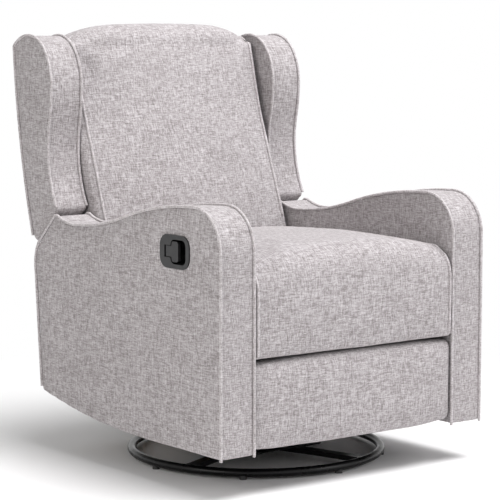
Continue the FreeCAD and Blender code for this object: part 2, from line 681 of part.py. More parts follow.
def arm_outline(x):
    """The arm's closed side outline: level then rising foot, sloped rear, dipped top, rolled front."""
    roll_y = ARM_FRONT + ARM_ROLL
    roll_z = ARM_TOP_Z - ARM_ROLL
    flat_run = ARM_REAR_FOOT_Y - ARM_FLAT_END
    foot_mid = ARM_BOTTOM + (ARM_REAR_FOOT_Z - ARM_BOTTOM) / 4
    bend = ARM_ROLL * sqrt(0.5)
    dip_run = ARM_DIP_Y - ARM_TURN_Y
    dip_rise = ARM_TURN_Z - ARM_DIP_Z
    top_run = ARM_TURN_Y - roll_y
    top_rise = ARM_TOP_Z - ARM_TURN_Z
    low, high = ARM_SLOPE_LOW, ARM_SLOPE_HIGH
    foot = (ARM_REAR_FOOT_Y, ARM_REAR_FOOT_Z)
    peak = shifted(high, ARM_PEAK_RUN)
    points = {
        "front_low": (ARM_FRONT, ARM_BOTTOM),
        "flat_end": (ARM_FLAT_END, ARM_BOTTOM),
        "foot_mid": (ARM_FLAT_END + flat_run / 2, foot_mid),
        "foot": foot,
        "heel_mid": shifted(foot, ARM_HEEL_MID),
        "heel": shifted(foot, ARM_HEEL),
        "rear": (ARM_REAR_Y, ARM_CHAMFER_Z),
        "rear_bend": shifted((ARM_REAR_Y, (ARM_CHAMFER_Z + low[1]) / 2), ARM_REAR_SAG),
        "slope_low": low,
        "slope_high": high,
        "peak": peak,
        "hollow": ((peak[0] + ARM_DIP_Y) / 2, ARM_DIP_Z + (high[1] - ARM_DIP_Z) * 0.27),
        "dip": (ARM_DIP_Y, ARM_DIP_Z),
        "rise": (ARM_DIP_Y - dip_run / 2, ARM_DIP_Z + dip_rise * 0.26),
        "turn": (ARM_TURN_Y, ARM_TURN_Z),
        "swell": (ARM_TURN_Y - top_run / 2, ARM_TURN_Z + top_rise * 0.74),
        "top": (roll_y, ARM_TOP_Z),
        "roll": (roll_y - bend, roll_z + bend),
        "front_high": (ARM_FRONT, roll_z)}
    at = {name: V(x, pair[0], pair[1]) for name, pair in points.items()}
    edges = [
        line(at["front_low"], at["flat_end"]),
        arc(at["flat_end"], at["foot_mid"], at["foot"]),
        arc(at["foot"], at["heel_mid"], at["heel"]),
        line(at["heel"], at["rear"]),
        arc(at["rear"], at["rear_bend"], at["slope_low"]),
        line(at["slope_low"], at["slope_high"]),
        line(at["slope_high"], at["peak"]),
        arc(at["peak"], at["hollow"], at["dip"]),
        arc(at["dip"], at["rise"], at["turn"]),
        arc(at["turn"], at["swell"], at["top"]),
        arc(at["top"], at["roll"], at["front_high"]),
        line(at["front_high"], at["front_low"])]
    return Part.Wire(edges)


def slab(wire, thickness):
    return Part.Face(wire).extrude(V(thickness, 0, 0))


def arm_cavity(x0, x1):
    """The space inside the padding: the side outline drawn in by the padding's thickness."""
    wire = arm_outline(x0)
    inner = wire.makeOffset2D(-ARM_SKIN)
    if inner.BoundBox.DiagonalLength > wire.BoundBox.DiagonalLength:
        inner = wire.makeOffset2D(ARM_SKIN)
    return slab(inner, x1 - x0)


def arm_posts():
    x0, x1 = ARM_BOARD_X + ARM_BOARD, ARM_OUTER - ARM_SKIN
    front = box(x0, x1, ARM_POST_FRONT_Y, ARM_POST_FRONT_Y + ARM_POST, ARM_POST_BOTTOM, ARM_POST_FRONT_TOP)
    rear_bottom = ARM_POST_BOTTOM + ARM_POST
    rear = box(x0, x1, ARM_POST_REAR_Y, ARM_POST_REAR_Y + ARM_POST, rear_bottom, ARM_POST_REAR_TOP)
    return front, rear


def arms():
    shell = slab(arm_outline(ARM_INNER), ARM_OUTER - ARM_INNER)
    shell = shell.cut(arm_cavity(ARM_BOARD_X, ARM_OUTER - ARM_SKIN))
    for side in (-1, 1):
        shell = shell.cut(stretcher(side, ARM_BOARD_X))
    save("arm_left", shell)
    right = mirrored(shell)
    save("arm_right", right.cut(bezel_block()))
    board = arm_cavity(ARM_BOARD_X, ARM_BOARD_X + ARM_BOARD)
    posts = arm_posts()
    frame = board.multiFuse(posts).removeSplitter()
    save("arm_frame_left", frame)
    save("arm_frame_right", mirrored(frame))


# Release handle


def bezel_block():
    """Rim and cup before they are hollowed."""
    face = -ARM_OUTER
    rim = rounded_plate(BEZEL_Y, BEZEL_Z, BEZEL_LENGTH, BEZEL_HEIGHT, BEZEL_CORNER,
                        face - BEZEL_PROUD, face)
    length = BEZEL_LENGTH - 2 * CUP_RIM + CUP_WALL
    height = BEZEL_HEIGHT - 2 * CUP_RIM + 2 * CUP_WALL
    cup = rounded_plate(BEZEL_Y, BEZEL_Z, length, height, BEZEL_CORNER - CUP_RIM,
                        face, face + CUP_DEPTH)
    return rim.fuse(cup)


def recess_front():
    """Front end of the finger recess, which lies forward in the bezel."""
    return BEZEL_Y - BEZEL_LENGTH / 2 + CUP_RIM + CUP_WALL


def grip_rear():
    return recess_front() + RECESS_LENGTH - LEVER_PLAY


def lever_axis():
    """The lever turns about this upright line, given as (x, y)."""
    thick_centre = -ARM_OUTER - BEZEL_PROUD + LEVER_SINK + LEVER_THICK / 2
    return (thick_centre, grip_rear() + CHANNEL_LENGTH - LEVER_THICK / 2 - LEVER_PLAY)


def handle_bezel():
    face = -ARM_OUTER
    floor = face + CUP_DEPTH - CUP_WALL
    front = recess_front()
    hollow = rounded_plate(front + RECESS_LENGTH / 2, BEZEL_Z, RECESS_LENGTH, RECESS_HEIGHT, RECESS_CORNER,
                           face - BEZEL_PROUD - 1, floor)
    half = STEM_HEIGHT / 2 + LEVER_PLAY
    channel = box(face - BEZEL_PROUD - 1, floor, front + RECESS_LENGTH - RECESS_CORNER,
                  grip_rear() + CHANNEL_LENGTH, BEZEL_Z - half, BEZEL_Z + half)
    x, y = lever_axis()
    reach = STEM_HEIGHT / 2 + TRUNNION_LENGTH + PIN_PLAY
    sockets = rod_z(x, y, TRUNNION / 2 + PIN_PLAY, BEZEL_Z - reach, BEZEL_Z + reach)
    save("handle_bezel", bezel_block().cut(hollow.fuse(channel)).cut(sockets).removeSplitter())


def release_lever():
    """A flat T: the grip bar in front, a stem behind it, and two small trunnions at the stem's end."""
    x, y = lever_axis()
    x0, x1 = x - LEVER_THICK / 2, x + LEVER_THICK / 2
    rear = grip_rear()
    grip = rounded_plate(rear - GRIP_WIDTH / 2, BEZEL_Z, GRIP_WIDTH, GRIP_HEIGHT, LEVER_THICK, x0, x1)
    stem = box(x0, x1, rear - LEVER_THICK, y, BEZEL_Z - STEM_HEIGHT / 2, BEZEL_Z + STEM_HEIGHT / 2)
    end = rod_z(x, y, LEVER_THICK / 2, BEZEL_Z - STEM_HEIGHT / 2, BEZEL_Z + STEM_HEIGHT / 2)
    reach = STEM_HEIGHT / 2 + TRUNNION_LENGTH
    trunnions = rod_z(x, y, TRUNNION / 2, BEZEL_Z - reach, BEZEL_Z + reach)
    save("release_lever", grip.multiFuse([stem, end, trunnions]).removeSplitter())


# Seat


def stretchers():
    save("front_stretcher", stretcher(-1, ARM_BOARD_X))
    save("rear_stretcher", stretcher(1, ARM_BOARD_X))


def seat_frame():
    z0, z1 = FLANGE_Z, SEAT_FRAME_TOP
    x0, x1 = SEAT_RAIL_INNER, SEAT_RAIL_INNER + SEAT_RAIL_THICK
    side = box(x0, x1, SEAT_FRONT_Y + SEAT_END_DEPTH, PLATE_TOP_REAR, z0, z1)
    side = drilled(side, [(BACK_PIVOT_Y, BACK_PIVOT_Z)], PIN_DIAMETER / 2, x0, x1)
    save("seat_rail_left", side)
    save("seat_rail_right", mirrored(side))
    save("seat_front_rail", box(-x1, x1, SEAT_FRONT_Y, SEAT_FRONT_Y + SEAT_END_DEPTH, z0, z1))
    save("seat_rear_rail", box(-x0, x0, SEAT_REAR_Y - SEAT_END_DEPTH, SEAT_REAR_Y, z0, z1))


def spring_path(x, z):
    """A flat zigzag of straight runs across, joined by half turns."""
    half = SPRING_WIDTH / 2
    turn = SPRING_PITCH / 2
    y = SEAT_FRONT_Y + SEAT_END_DEPTH / 2
    length = SEAT_REAR_Y - SEAT_FRONT_Y - SEAT_END_DEPTH
    start = y + (length - SPRING_LOOP_COUNT * 2 * turn) / 2
    edges = []
    side = -1
    for i in range(SPRING_LOOP_COUNT):
        y0 = start + i * 2 * turn
        edges.append(line(V(x + side * half, y0, z), V(x - side * half, y0, z)))
        bulge = V(x - side * (half + turn), y0 + turn, z)
        edges.append(arc(V(x - side * half, y0, z), bulge, V(x - side * half, y0 + 2 * turn, z)))
        side = -side
    last = start + SPRING_LOOP_COUNT * 2 * turn
    edges.append(line(V(x + side * half, last, z), V(x - side * half, last, z)))
    return Part.Wire(edges)


def seat_springs():
    z = SEAT_FRAME_TOP + SPRING_WIRE / 2
    path = spring_path(0, z)
    start = path.OrderedVertexes[0].Point
    circle = Part.Wire(Part.makeCircle(SPRING_WIRE / 2, start, V(1, 0, 0)))
    spring = path.makePipeShell([circle], True, False)
    springs = []
    for i in range(SPRING_COUNT):
        copy = spring.copy()
        copy.translate(V((i - (SPRING_COUNT - 1) / 2) * SPRING_SPACING, 0, 0))
        springs.append(copy)
    save("seat_springs", Part.makeCompound(springs))


def seat_section(x, crown):
    """One fore and aft slice of the seat cushion, with the lip that hangs over the front rail."""
    face = SEAT_FACE_Y + SEAT_FACE_BULGE * (1 - crown) * 0.5
    lip_inner = SEAT_FRONT_Y - SOFT_GAP
    low = SEAT_LIP_Z
    base = SEAT_FRAME_TOP + SPRING_WIRE + SOFT_GAP
    top = SEAT_SIDE_Z + SEAT_CROWN * crown
    roll = SEAT_FRONT_ROLL
    ease = roll * (1 - sqrt(0.5))
    round_lip = (lip_inner - face) / 2
    lip_z = low + round_lip
    back_roll = SEAT_BACK_ROLL
    back_ease = back_roll * (1 - sqrt(0.5))
    rear_top = top - SEAT_CROWN * 0.4 * crown
    middle = (face + SEAT_BACK_Y) / 2
    bulge = SEAT_FACE_BULGE * crown
    shoulder = top - roll
    edges = [
        line(V(x, SEAT_BACK_Y, base), V(x, lip_inner, base)),
        line(V(x, lip_inner, base), V(x, lip_inner, lip_z)),
        arc(V(x, lip_inner, lip_z), V(x, lip_inner - round_lip, low), V(x, face, lip_z)),
        arc(V(x, face, lip_z), V(x, face - bulge - 0.5, (low + shoulder) / 2), V(x, face, shoulder)),
        arc(V(x, face, shoulder), V(x, face + ease, top - ease), V(x, face + roll, top)),
        arc(V(x, face + roll, top), V(x, middle, top + SEAT_CROWN * 0.15 * crown + 0.5),
            V(x, SEAT_BACK_Y - back_roll, rear_top)),
        arc(V(x, SEAT_BACK_Y - back_roll, rear_top), V(x, SEAT_BACK_Y - back_ease, rear_top - back_ease),
            V(x, SEAT_BACK_Y, rear_top - back_roll)),
        line(V(x, SEAT_BACK_Y, rear_top - back_roll), V(x, SEAT_BACK_Y, base))]
    return Part.Wire(edges)


def seat_cushion():
    wires = [seat_section(SEAT_HALF * s, crown_at(s)) for s in spread(SECTION_COUNT)]
    save("seat_cushion", loft(wires))


# Backrest


def back_line(z, inside=0.0):
    """Y of the leaning rear face at height z, or of a parallel plane inside it."""
    lean = radians(BACK_LEAN)
    return BACK_REAR_Y + (z - BACK_REAR_Z) * tan(lean) - inside / cos(lean)


def leaning(inside0, inside1, z0, z1, x0, x1):
    """A slab parallel to the rear face, between two depths inside it."""
    return plate([(back_line(z0, inside1), z0), (back_line(z0, inside0), z0),
                  (back_line(z1, inside0), z1), (back_line(z1, inside1), z1)], x0, x1)


def back_frame():
    near, far = BACK_SHELL, BACK_SHELL + STILE_DEPTH
    stile = leaning(near, far, STILE_LOW, STILE_HIGH, STILE_INNER, STILE_OUTER)
    save("back_stile_left", stile)
    save("back_stile_right", mirrored(stile))
    save("back_rail_bottom", leaning(near, far, STILE_LOW, STILE_LOW + RAIL_TALL, -HINGE_LANE, HINGE_LANE))
    save("back_rail_top", leaning(near, far, STILE_HIGH - RAIL_TALL, STILE_HIGH, -STILE_INNER, STILE_INNER))
    webs = []
    for i in range(WEB_COUNT):
        z = STILE_LOW + RAIL_TALL + WEB_SPACE + i * (WEB_WIDTH + WEB_SPACE)
        middle = near + STILE_DEPTH / 2
        webs.append(leaning(middle, middle + WEB_THICK, z, z + WEB_WIDTH, -STILE_INNER, STILE_INNER))
    save("back_webbing", Part.makeCompound(webs))
    shell = leaning(0, BACK_SHELL, BACK_LOW, BACK_HIGH, -STILE_OUTER, STILE_OUTER)
    save("outside_back", shell)


def back_brackets():
    """Steel brackets from the hinge bolts to the foot of each stile."""
    x0, x1 = HINGE_LANE, HINGE_LANE + STEEL
    pivot = (BACK_PIVOT_Y, BACK_PIVOT_Z)
    low, high = STILE_LOW, STILE_LOW + BRACKET_FOOT
    half = HINGE_ARM_WIDTH / 2
    foot = leaning(BACK_SHELL, BACK_SHELL + STILE_DEPTH, low, high, x0, x1)
    front = BACK_SHELL + STILE_DEPTH / 2
    web = plate([(pivot[0] - half * 0.5, pivot[1] + half * sqrt(0.75)), (pivot[0], pivot[1] - half),
                 (back_line(low, front), low), (back_line(high, front), high)], x0, x1)
    eye = rod_x(pivot[0], pivot[1], half, x0, x1)
    bracket = foot.multiFuse([web, eye]).removeSplitter()
    bracket = drilled(bracket, [pivot], PIN_DIAMETER / 2 + PIN_PLAY, x0, x1)
    save("back_bracket_left", bracket)
    save("back_bracket_right", mirrored(bracket))
    bolt = headed_pin(pivot[0], pivot[1], PIN_DIAMETER, PIN_HEAD, SEAT_RAIL_INNER, x1 + LANE_GAP / 2)
    save("back_hinge_bolts", both_sides(bolt))


def cushion_section(z, edge_y, crown, rear_y, half):
    """One level slice of the back cushion: flat behind, crowned in front."""
    front_half = half - CUSHION_BORDER
    corner_y = edge_y + CUSHION_BORDER
    edges = [
        line(V(half, rear_y, z), V(-half, rear_y, z)),
        line(V(-half, rear_y, z), V(-half, corner_y, z)),
        arc(V(-half, corner_y, z), V(-half + CUSHION_BORDER * 0.3, edge_y + CUSHION_BORDER * 0.3, z),
            V(-front_half, edge_y, z)),
        arc(V(-front_half, edge_y, z), V(0, edge_y - crown, z), V(front_half, edge_y, z)),
        arc(V(front_half, edge_y, z), V(half - CUSHION_BORDER * 0.3, edge_y + CUSHION_BORDER * 0.3, z),
            V(half, corner_y, z)),
        line(V(half, corner_y, z), V(half, rear_y, z))]
    return Part.Wire(edges)


def front_edge(z):
    """Y of the cushion's front edge seam: a straight lower stretch and a steeper upper one."""
    if z < CUSHION_EDGE_MID_Z:
        share = (z - CUSHION_LOW) / (CUSHION_EDGE_MID_Z - CUSHION_LOW)
        return CUSHION_EDGE_LOW_Y + share * (CUSHION_EDGE_MID_Y - CUSHION_EDGE_LOW_Y)
    share = (z - CUSHION_EDGE_MID_Z) / (CUSHION_TOP - CUSHION_EDGE_MID_Z)
    return CUSHION_EDGE_MID_Y + share * (CUSHION_EDGE_TOP_Y - CUSHION_EDGE_MID_Y)


def back_cushion():
    levels = [0.0, 0.16, 0.4, 0.65, 0.85, 0.95]
    fullness = [0.45, 0.95, 1.0, 0.95, 0.8, 0.65]
    wires = []
    for share, full in zip(levels, fullness):
        z = CUSHION_LOW + share * (CUSHION_TOP - CUSHION_LOW)
        rear = back_line(z, BACK_SHELL + SOFT_GAP)
        wires.append(cushion_section(z, front_edge(z), CUSHION_CROWN * full, rear, CUSHION_HALF))
    body = loft(wires)
    top = cushion_top(CUSHION_LOW + levels[-1] * (CUSHION_TOP - CUSHION_LOW))
    body = body.fuse(top).removeSplitter()
    frame_space = leaning(BACK_SHELL - 1, BACK_SHELL + STILE_DEPTH + SOFT_GAP, CUSHION_LOW - 1,
                          STILE_HIGH + SOFT_GAP, -ARM_INNER, ARM_INNER)
    save("back_cushion", body.cut(frame_space))


def cushion_top(z):
    """The domed roll over the top edge, as slices that rise in the middle."""
    wires = []
    front = front_edge(z)
    rear = back_line(z, BACK_SHELL + SOFT_GAP)
    for s in spread(SECTION_COUNT):
        crown = crown_at(s)
        x = s * (CUSHION_HALF - CUSHION_BORDER * 0.5)
        top = CUSHION_TOP - CUSHION_BORDER * (1 - crown) + CUSHION_DOME * crown
        face = front + CUSHION_BORDER * 0.8 * (1 - crown) - CUSHION_CROWN * 0.6 * crown
        crest = (face + rear) / 2 + 6
        edges = [
            line(V(x, rear, z), V(x, face, z)),
            arc(V(x, face, z), V(x, face + (crest - face) * 0.25, z + (top - z) * 0.72), V(x, crest, top)),
            arc(V(x, crest, top), V(x, rear - (rear - crest) * 0.22, z + (top - z) * 0.78), V(x, rear, z))]
        wires.append(Part.Wire(edges))
    return loft(wires)


def above_slope(along):
    """A point WING_GAP off the arm's slope, at a distance along it from its upper end."""
    run = ARM_SLOPE_LOW[0] - ARM_SLOPE_HIGH[0]
    fall = ARM_SLOPE_HIGH[1] - ARM_SLOPE_LOW[1]
    length = hypot(run, fall)
    y = ARM_SLOPE_HIGH[0] + (run * along + fall * WING_GAP) / length
    z = ARM_SLOPE_HIGH[1] + (run * WING_GAP - fall * along) / length
    return (y, z)


def shifted(point, step, share=1.0):
    return (point[0] + step[0] * share, point[1] + step[1] * share)


def wing_outline(x):
    """The wing's side outline: straight leaning rear, round crest, hollow brow, full lower front."""
    def at(pair):
        return V(x, pair[0], pair[1])
    slope = hypot(ARM_SLOPE_LOW[0] - ARM_SLOPE_HIGH[0], ARM_SLOPE_HIGH[1] - ARM_SLOPE_LOW[1])
    nose = above_slope(WING_START)
    tail = above_slope(slope + WING_OVERHANG)
    low_front = shifted(nose, WING_NOSE)
    low_rear = shifted(tail, WING_HEEL)
    nose_mid = (nose[0] + WING_NOSE[0] * 0.87, nose[1] + WING_NOSE[1] * 0.36)
    tail_mid = (tail[0] + WING_HEEL[0] * 0.7, tail[1] + WING_HEEL[1] * 0.3)
    brow_mid = shifted(midpoint(WING_BROW, WING_CREST_FRONT), WING_BROW_EASE)
    edges = [
        arc(at(low_front), at(nose_mid), at(nose)),
        line(at(nose), at(tail)),
        arc(at(tail), at(tail_mid), at(low_rear)),
        arc(at(low_rear), at(WING_REAR_MID), at(WING_CREST_REAR)),
        arc(at(WING_CREST_REAR), at(WING_CREST), at(WING_CREST_FRONT)),
        arc(at(WING_CREST_FRONT), at(brow_mid), at(WING_BROW)),
        arc(at(WING_BROW), at(WING_HOLLOW), at(WING_TURN)),
        arc(at(WING_TURN), at(WING_BELLY), at(low_front))]
    return Part.Wire(edges)


def wings():
    wing = slab(wing_outline(ARM_INNER), WING_OUTER - ARM_INNER)
    save("wing_left", wing)
    save("wing_right", mirrored(wing))


def lower_back_panel():
    """Padded panel that closes the rear between the arms, below the reclining back."""
    low, high = ARM_REAR_FOOT_Z + 9, BACK_LOW - PANEL_GAP
    rear_low, rear_high = ARM_REAR_FOOT_Y + PANEL_STEP, back_line(BACK_LOW) + ARM_SKIN + PANEL_CLEAR
    outline = [(rear_low - ARM_SKIN, low), (rear_low, low), (rear_high, high), (rear_high - ARM_SKIN, high)]
    save("lower_back_panel", plate(outline, -ARM_INNER, ARM_INNER))


base_ring()
floor_glides()
crossbars()
swivel_bearing()
swivel_bolt()
glider_cross_tubes()
glider_brackets()
glide_pins()
glide_links()
mechanism_rails()
linkage_plates()
linkage_bolts()
footrest_links()
footrest_rivets()
footrest()
arms()
handle_bezel()
release_lever()
stretchers()
seat_frame()
seat_springs()
seat_cushion()
back_frame()
back_brackets()
back_cushion()
wings()
lower_back_panel()
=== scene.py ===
# %% [markdown]
# # A swivel glider recliner, dressed for its picture
# The imported model holds every part of this chair at its real size: the floor ring, the glider, the
# footrest linkage, the wooden frame, and plain solids for the upholstery. This lesson keeps the hard
# parts, gives them real finishes, and sews new padded covers over the plain soft solids.
# Everything is in metres in the frame of the model: +Z up, the sitter faces -Y, and the release
# handle is on the sitter's right, at -X.

# %% Load the chair
import bpy
import bmesh
import json
from math import exp, pi, radians
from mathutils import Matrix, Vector, kdtree, noise


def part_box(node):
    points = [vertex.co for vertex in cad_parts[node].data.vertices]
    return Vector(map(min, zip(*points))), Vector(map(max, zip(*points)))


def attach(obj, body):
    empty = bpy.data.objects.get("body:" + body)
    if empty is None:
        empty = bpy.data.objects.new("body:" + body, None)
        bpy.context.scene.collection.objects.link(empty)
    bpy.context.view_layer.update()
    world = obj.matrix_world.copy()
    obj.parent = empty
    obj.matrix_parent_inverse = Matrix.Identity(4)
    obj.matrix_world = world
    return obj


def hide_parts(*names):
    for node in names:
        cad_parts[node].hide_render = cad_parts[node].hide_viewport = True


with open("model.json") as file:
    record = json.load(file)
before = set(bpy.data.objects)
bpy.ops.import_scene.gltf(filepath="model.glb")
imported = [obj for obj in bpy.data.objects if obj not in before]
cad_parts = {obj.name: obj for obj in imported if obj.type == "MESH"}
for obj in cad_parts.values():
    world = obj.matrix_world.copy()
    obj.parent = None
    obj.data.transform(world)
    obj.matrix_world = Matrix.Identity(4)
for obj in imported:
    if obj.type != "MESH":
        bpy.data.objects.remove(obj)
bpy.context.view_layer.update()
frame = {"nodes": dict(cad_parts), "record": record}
nodes = frame["nodes"]

# %% [markdown]
# ## Small helpers
# Blender's operators act on whatever is selected, and loading the model leaves all of it selected.
# So every step first selects just the piece that it works on. Sizes below are easier to read in
# millimetres, and `mm` turns them into metres.

# %% Helpers for sizes and selection
def mm(*sizes):
    """Millimetres to metres: one number, or a vector from three."""
    return sizes[0] * 0.001 if len(sizes) == 1 else Vector(sizes) * 0.001


def pick(*pieces):
    """Selects just these pieces. The last one becomes the active one."""
    bpy.ops.object.select_all(action="DESELECT")
    for piece in pieces:
        piece.select_set(True)
    bpy.context.view_layer.objects.active = pieces[-1]


def apply_modifier(piece, kind, **settings):
    """Adds a modifier with its settings and applies it at once."""
    pick(piece)
    bpy.ops.object.modifier_add(type=kind)
    modifier = piece.modifiers[-1]
    for name, value in settings.items():
        setattr(modifier, name, value)
    bpy.ops.object.modifier_apply(modifier=modifier.name)


def smooth_step(value, low, high):
    """0 below low, 1 above high, and an even blend between them."""
    share = min(1.0, max(0.0, (value - low) / (high - low)))
    return share * share * (3 - 2 * share)


# %% [markdown]
# ## Colours and nodes
# Colours are written as the hex values that a picture editor shows, and one function turns them to
# the linear values that a renderer needs. One more function adds a shader node with its settings and
# its links, which keeps each material short enough to read as a recipe.

# %% Colour and node helpers
def linear(hex_code):
    """An sRGB hex colour as linear red, green, blue and alpha."""
    channels = [int(hex_code[i:i + 2], 16) / 255 for i in (1, 3, 5)]
    return [c / 12.92 if c <= 0.04045 else ((c + 0.055) / 1.055) ** 2.4 for c in channels] + [1.0]


def add_node(tree, kind, inputs=None, **settings):
    """Adds one node, sets its options and fills its inputs with values or other nodes' outputs."""
    node = tree.nodes.new(kind)
    for name, value in settings.items():
        setattr(node, name, value)
    for key, value in (inputs or {}).items():
        if isinstance(value, bpy.types.NodeSocket):
            tree.links.new(value, node.inputs[key])
        else:
            node.inputs[key].default_value = value
    return node


def new_material(name):
    """An empty material with its Principled shader."""
    material = bpy.data.materials.new(name)
    material.use_nodes = True
    return material, material.node_tree, material.node_tree.nodes["Principled BSDF"]


def spread_of(tree, value, low, high, to_low=0.0, to_high=1.0):
    """Stretches a range of values to another one, clamped."""
    return add_node(tree, "ShaderNodeMapRange", {
        "Value": value, "From Min": low, "From Max": high,
        "To Min": to_low, "To Max": to_high}).outputs["Result"]


def blend_of(tree, share, first, second):
    """Mixes two colours."""
    return add_node(tree, "ShaderNodeMix", {
        "Factor": share, "A": first, "B": second}, data_type="RGBA").outputs["Result"]


# %% [markdown]
# ## Upholstery fabric: linen-look polyester, plain woven
# The cover is a heathered weave: pale and dark fibres are spun together, and thick places in the
# yarn, called slubs, show as short streaks along both thread directions. The real threads are about
# 0.5 mm apart, which is finer than this picture can show, so the weave is drawn at about 3 mm.
# The cloth round a cord is woven a little paler: a painted highlight for the light that taut cloth
# catches.
# The pattern has to lie flat on every side of a padded piece. It reads the Object coordinates, and
# turns them to the plane that each place faces most: the side, the front or the top.

# %% Coordinates that lie on the cloth
FACES_UP = 0.74
NOISE_THROUGH_CLOTH = 40.0


def cloth_coordinates(tree):
    """Object coordinates turned so that the first two run along the cloth and the third through it."""
    where = add_node(tree, "ShaderNodeTexCoord")
    place = add_node(tree, "ShaderNodeSeparateXYZ", {"Vector": where.outputs["Object"]}).outputs
    size = add_node(tree, "ShaderNodeVectorMath", {0: where.outputs["Normal"]},
                    operation="ABSOLUTE").outputs["Vector"]
    facing = add_node(tree, "ShaderNodeSeparateXYZ", {"Vector": size}).outputs
    front = add_node(tree, "ShaderNodeCombineXYZ", {"X": place["X"], "Y": place["Z"], "Z": place["Y"]})
    side = add_node(tree, "ShaderNodeCombineXYZ", {"X": place["Y"], "Y": place["Z"], "Z": place["X"]})
    is_side = add_node(tree, "ShaderNodeMath", {
        0: facing["X"], 1: facing["Y"]}, operation="GREATER_THAN")
    upright = add_node(tree, "ShaderNodeMix", {
        "Factor": is_side.outputs[0], "A": front.outputs[0], "B": side.outputs[0]}, data_type="VECTOR")
    is_top = add_node(tree, "ShaderNodeMath", {0: facing["Z"], 1: FACES_UP}, operation="GREATER_THAN")
    return add_node(tree, "ShaderNodeMix", {
        "Factor": is_top.outputs[0], "A": upright.outputs["Result"],
        "B": where.outputs["Object"]}, data_type="VECTOR").outputs["Result"]


def threads(tree, cloth, along, across, detail=1.0):
    """Noise drawn out into streaks: its size in metres along the cloth's two directions."""
    stretched = add_node(tree, "ShaderNodeMapping", {
        "Vector": cloth, "Scale": (1 / along, 1 / across, NOISE_THROUGH_CLOTH)}).outputs["Vector"]
    return add_node(tree, "ShaderNodeTexNoise", {
        "Vector": stretched, "Scale": 1.0, "Detail": detail, "Roughness": 0.6}).outputs["Fac"]


def ripple(tree, cloth, axis, pitch):
    """A sine wave along one direction of the cloth, for the threads that cross it."""
    part = add_node(tree, "ShaderNodeSeparateXYZ", {"Vector": cloth}).outputs[axis]
    turns = add_node(tree, "ShaderNodeMath", {0: part, 1: 2 * pi / pitch}, operation="MULTIPLY")
    return add_node(tree, "ShaderNodeMath", {0: turns.outputs[0]}, operation="SINE").outputs[0]


# %% Upholstery fabric
SLUB_LENGTH = mm(17)
SLUB_WIDTH = mm(2.1)
WEAVE_PITCH = mm(3.2)
SPECKLE_SIZE = mm(2.4)
SPECKLE_SHARE = 0.45
CLOUD_SIZE = mm(90)


def woven_fabric(name, dark, middle, light):
    """Heathered linen-look cloth: matt, with a soft bloom at grazing angles."""
    material, tree, shader = new_material(name)
    cloth = cloth_coordinates(tree)
    weft = threads(tree, cloth, SLUB_LENGTH, SLUB_WIDTH)
    warp = threads(tree, cloth, SLUB_WIDTH, SLUB_LENGTH)
    speckle = threads(tree, cloth, SPECKLE_SIZE, SPECKLE_SIZE, 0.0)
    cloud = threads(tree, cloth, CLOUD_SIZE, CLOUD_SIZE, 1.0)
    yarn = add_node(tree, "ShaderNodeMath", {0: weft, 1: warp}, operation="ADD").outputs[0]
    both = add_node(tree, "ShaderNodeMath", {
        0: speckle, 1: SPECKLE_SHARE, 2: yarn}, operation="MULTIPLY_ADD").outputs[0]
    streak = spread_of(tree, both, 0.86, 1.59)
    shade = blend_of(tree, spread_of(tree, streak, 0.0, 0.55), linear(dark), linear(middle))
    shade = blend_of(tree, spread_of(tree, streak, 0.50, 1.0), shade, linear(light))
    mottled = blend_of(tree, spread_of(tree, cloud, 0.35, 0.65, 0.0, 0.10), shade, linear(dark))
    weave = add_node(tree, "ShaderNodeMath", {
        0: ripple(tree, cloth, 0, WEAVE_PITCH), 1: ripple(tree, cloth, 1, WEAVE_PITCH)},
        operation="MULTIPLY").outputs[0]
    height = add_node(tree, "ShaderNodeMath", {0: weave, 1: 0.22, 2: both}, operation="MULTIPLY_ADD")
    bump = add_node(tree, "ShaderNodeBump", {
        "Strength": 0.4, "Distance": mm(0.7), "Height": height.outputs[0]})
    tree.links.new(mottled, shader.inputs["Base Color"])
    tree.links.new(bump.outputs["Normal"], shader.inputs["Normal"])
    shader.inputs["Roughness"].default_value = 0.92
    shader.inputs["Specular IOR Level"].default_value = 0.18
    shader.inputs["Sheen Weight"].default_value = 0.12
    shader.inputs["Sheen Roughness"].default_value = 0.5
    return material


fabric = woven_fabric("linen_look_polyester_woven", "#807A7A", "#A8A3A4", "#C9C5C7")
# The cords' cloth is a paler copy of the cover: a painted highlight along every seam.
painted_highlight_fabric = woven_fabric("linen_look_polyester_woven_painted_highlight", "#938D8D", "#BCB7B8", "#D6D2D4")
print("made", fabric.name, "and", painted_highlight_fabric.name)

# %% [markdown]
# ## Hard finishes
# The floor ring and bars are steel with a black powder coat: smooth and fairly glossy, with a faint
# orange-peel texture. Fine noise in the bump gives the peel, and coarse noise varies the gloss.

# %% Black powder coat
def patches(tree, where, scale, detail):
    """Plain noise: its number of patches per metre and its fineness."""
    return add_node(tree, "ShaderNodeTexNoise", {
        "Vector": where, "Scale": scale, "Detail": detail}).outputs["Fac"]


def powder_coat(name):
    """Black powder coat: a smooth skin over steel, never quite flat."""
    material, tree, shader = new_material(name)
    where = add_node(tree, "ShaderNodeTexCoord").outputs["Object"]
    peel = patches(tree, where, 420.0, 1.0)
    dust = patches(tree, where, 25.0, 3.0)
    colour = blend_of(tree, spread_of(tree, dust, 0.4, 0.7), linear("#050506"), linear("#0C0C0D"))
    tree.links.new(colour, shader.inputs["Base Color"])
    tree.links.new(spread_of(tree, dust, 0.3, 0.7, 0.24, 0.36), shader.inputs["Roughness"])
    bump = add_node(tree, "ShaderNodeBump", {"Strength": 0.15, "Distance": mm(0.1), "Height": peel})
    tree.links.new(bump.outputs["Normal"], shader.inputs["Normal"])
    shader.inputs["Specular IOR Level"].default_value = 0.22
    return material


# %% [markdown]
# The mechanism is zinc-plated steel, dull and slightly cloudy. The bearing balls are ground and the
# seat springs are drawn wire. One recipe serves all three, with its own colours, roughness and lines.

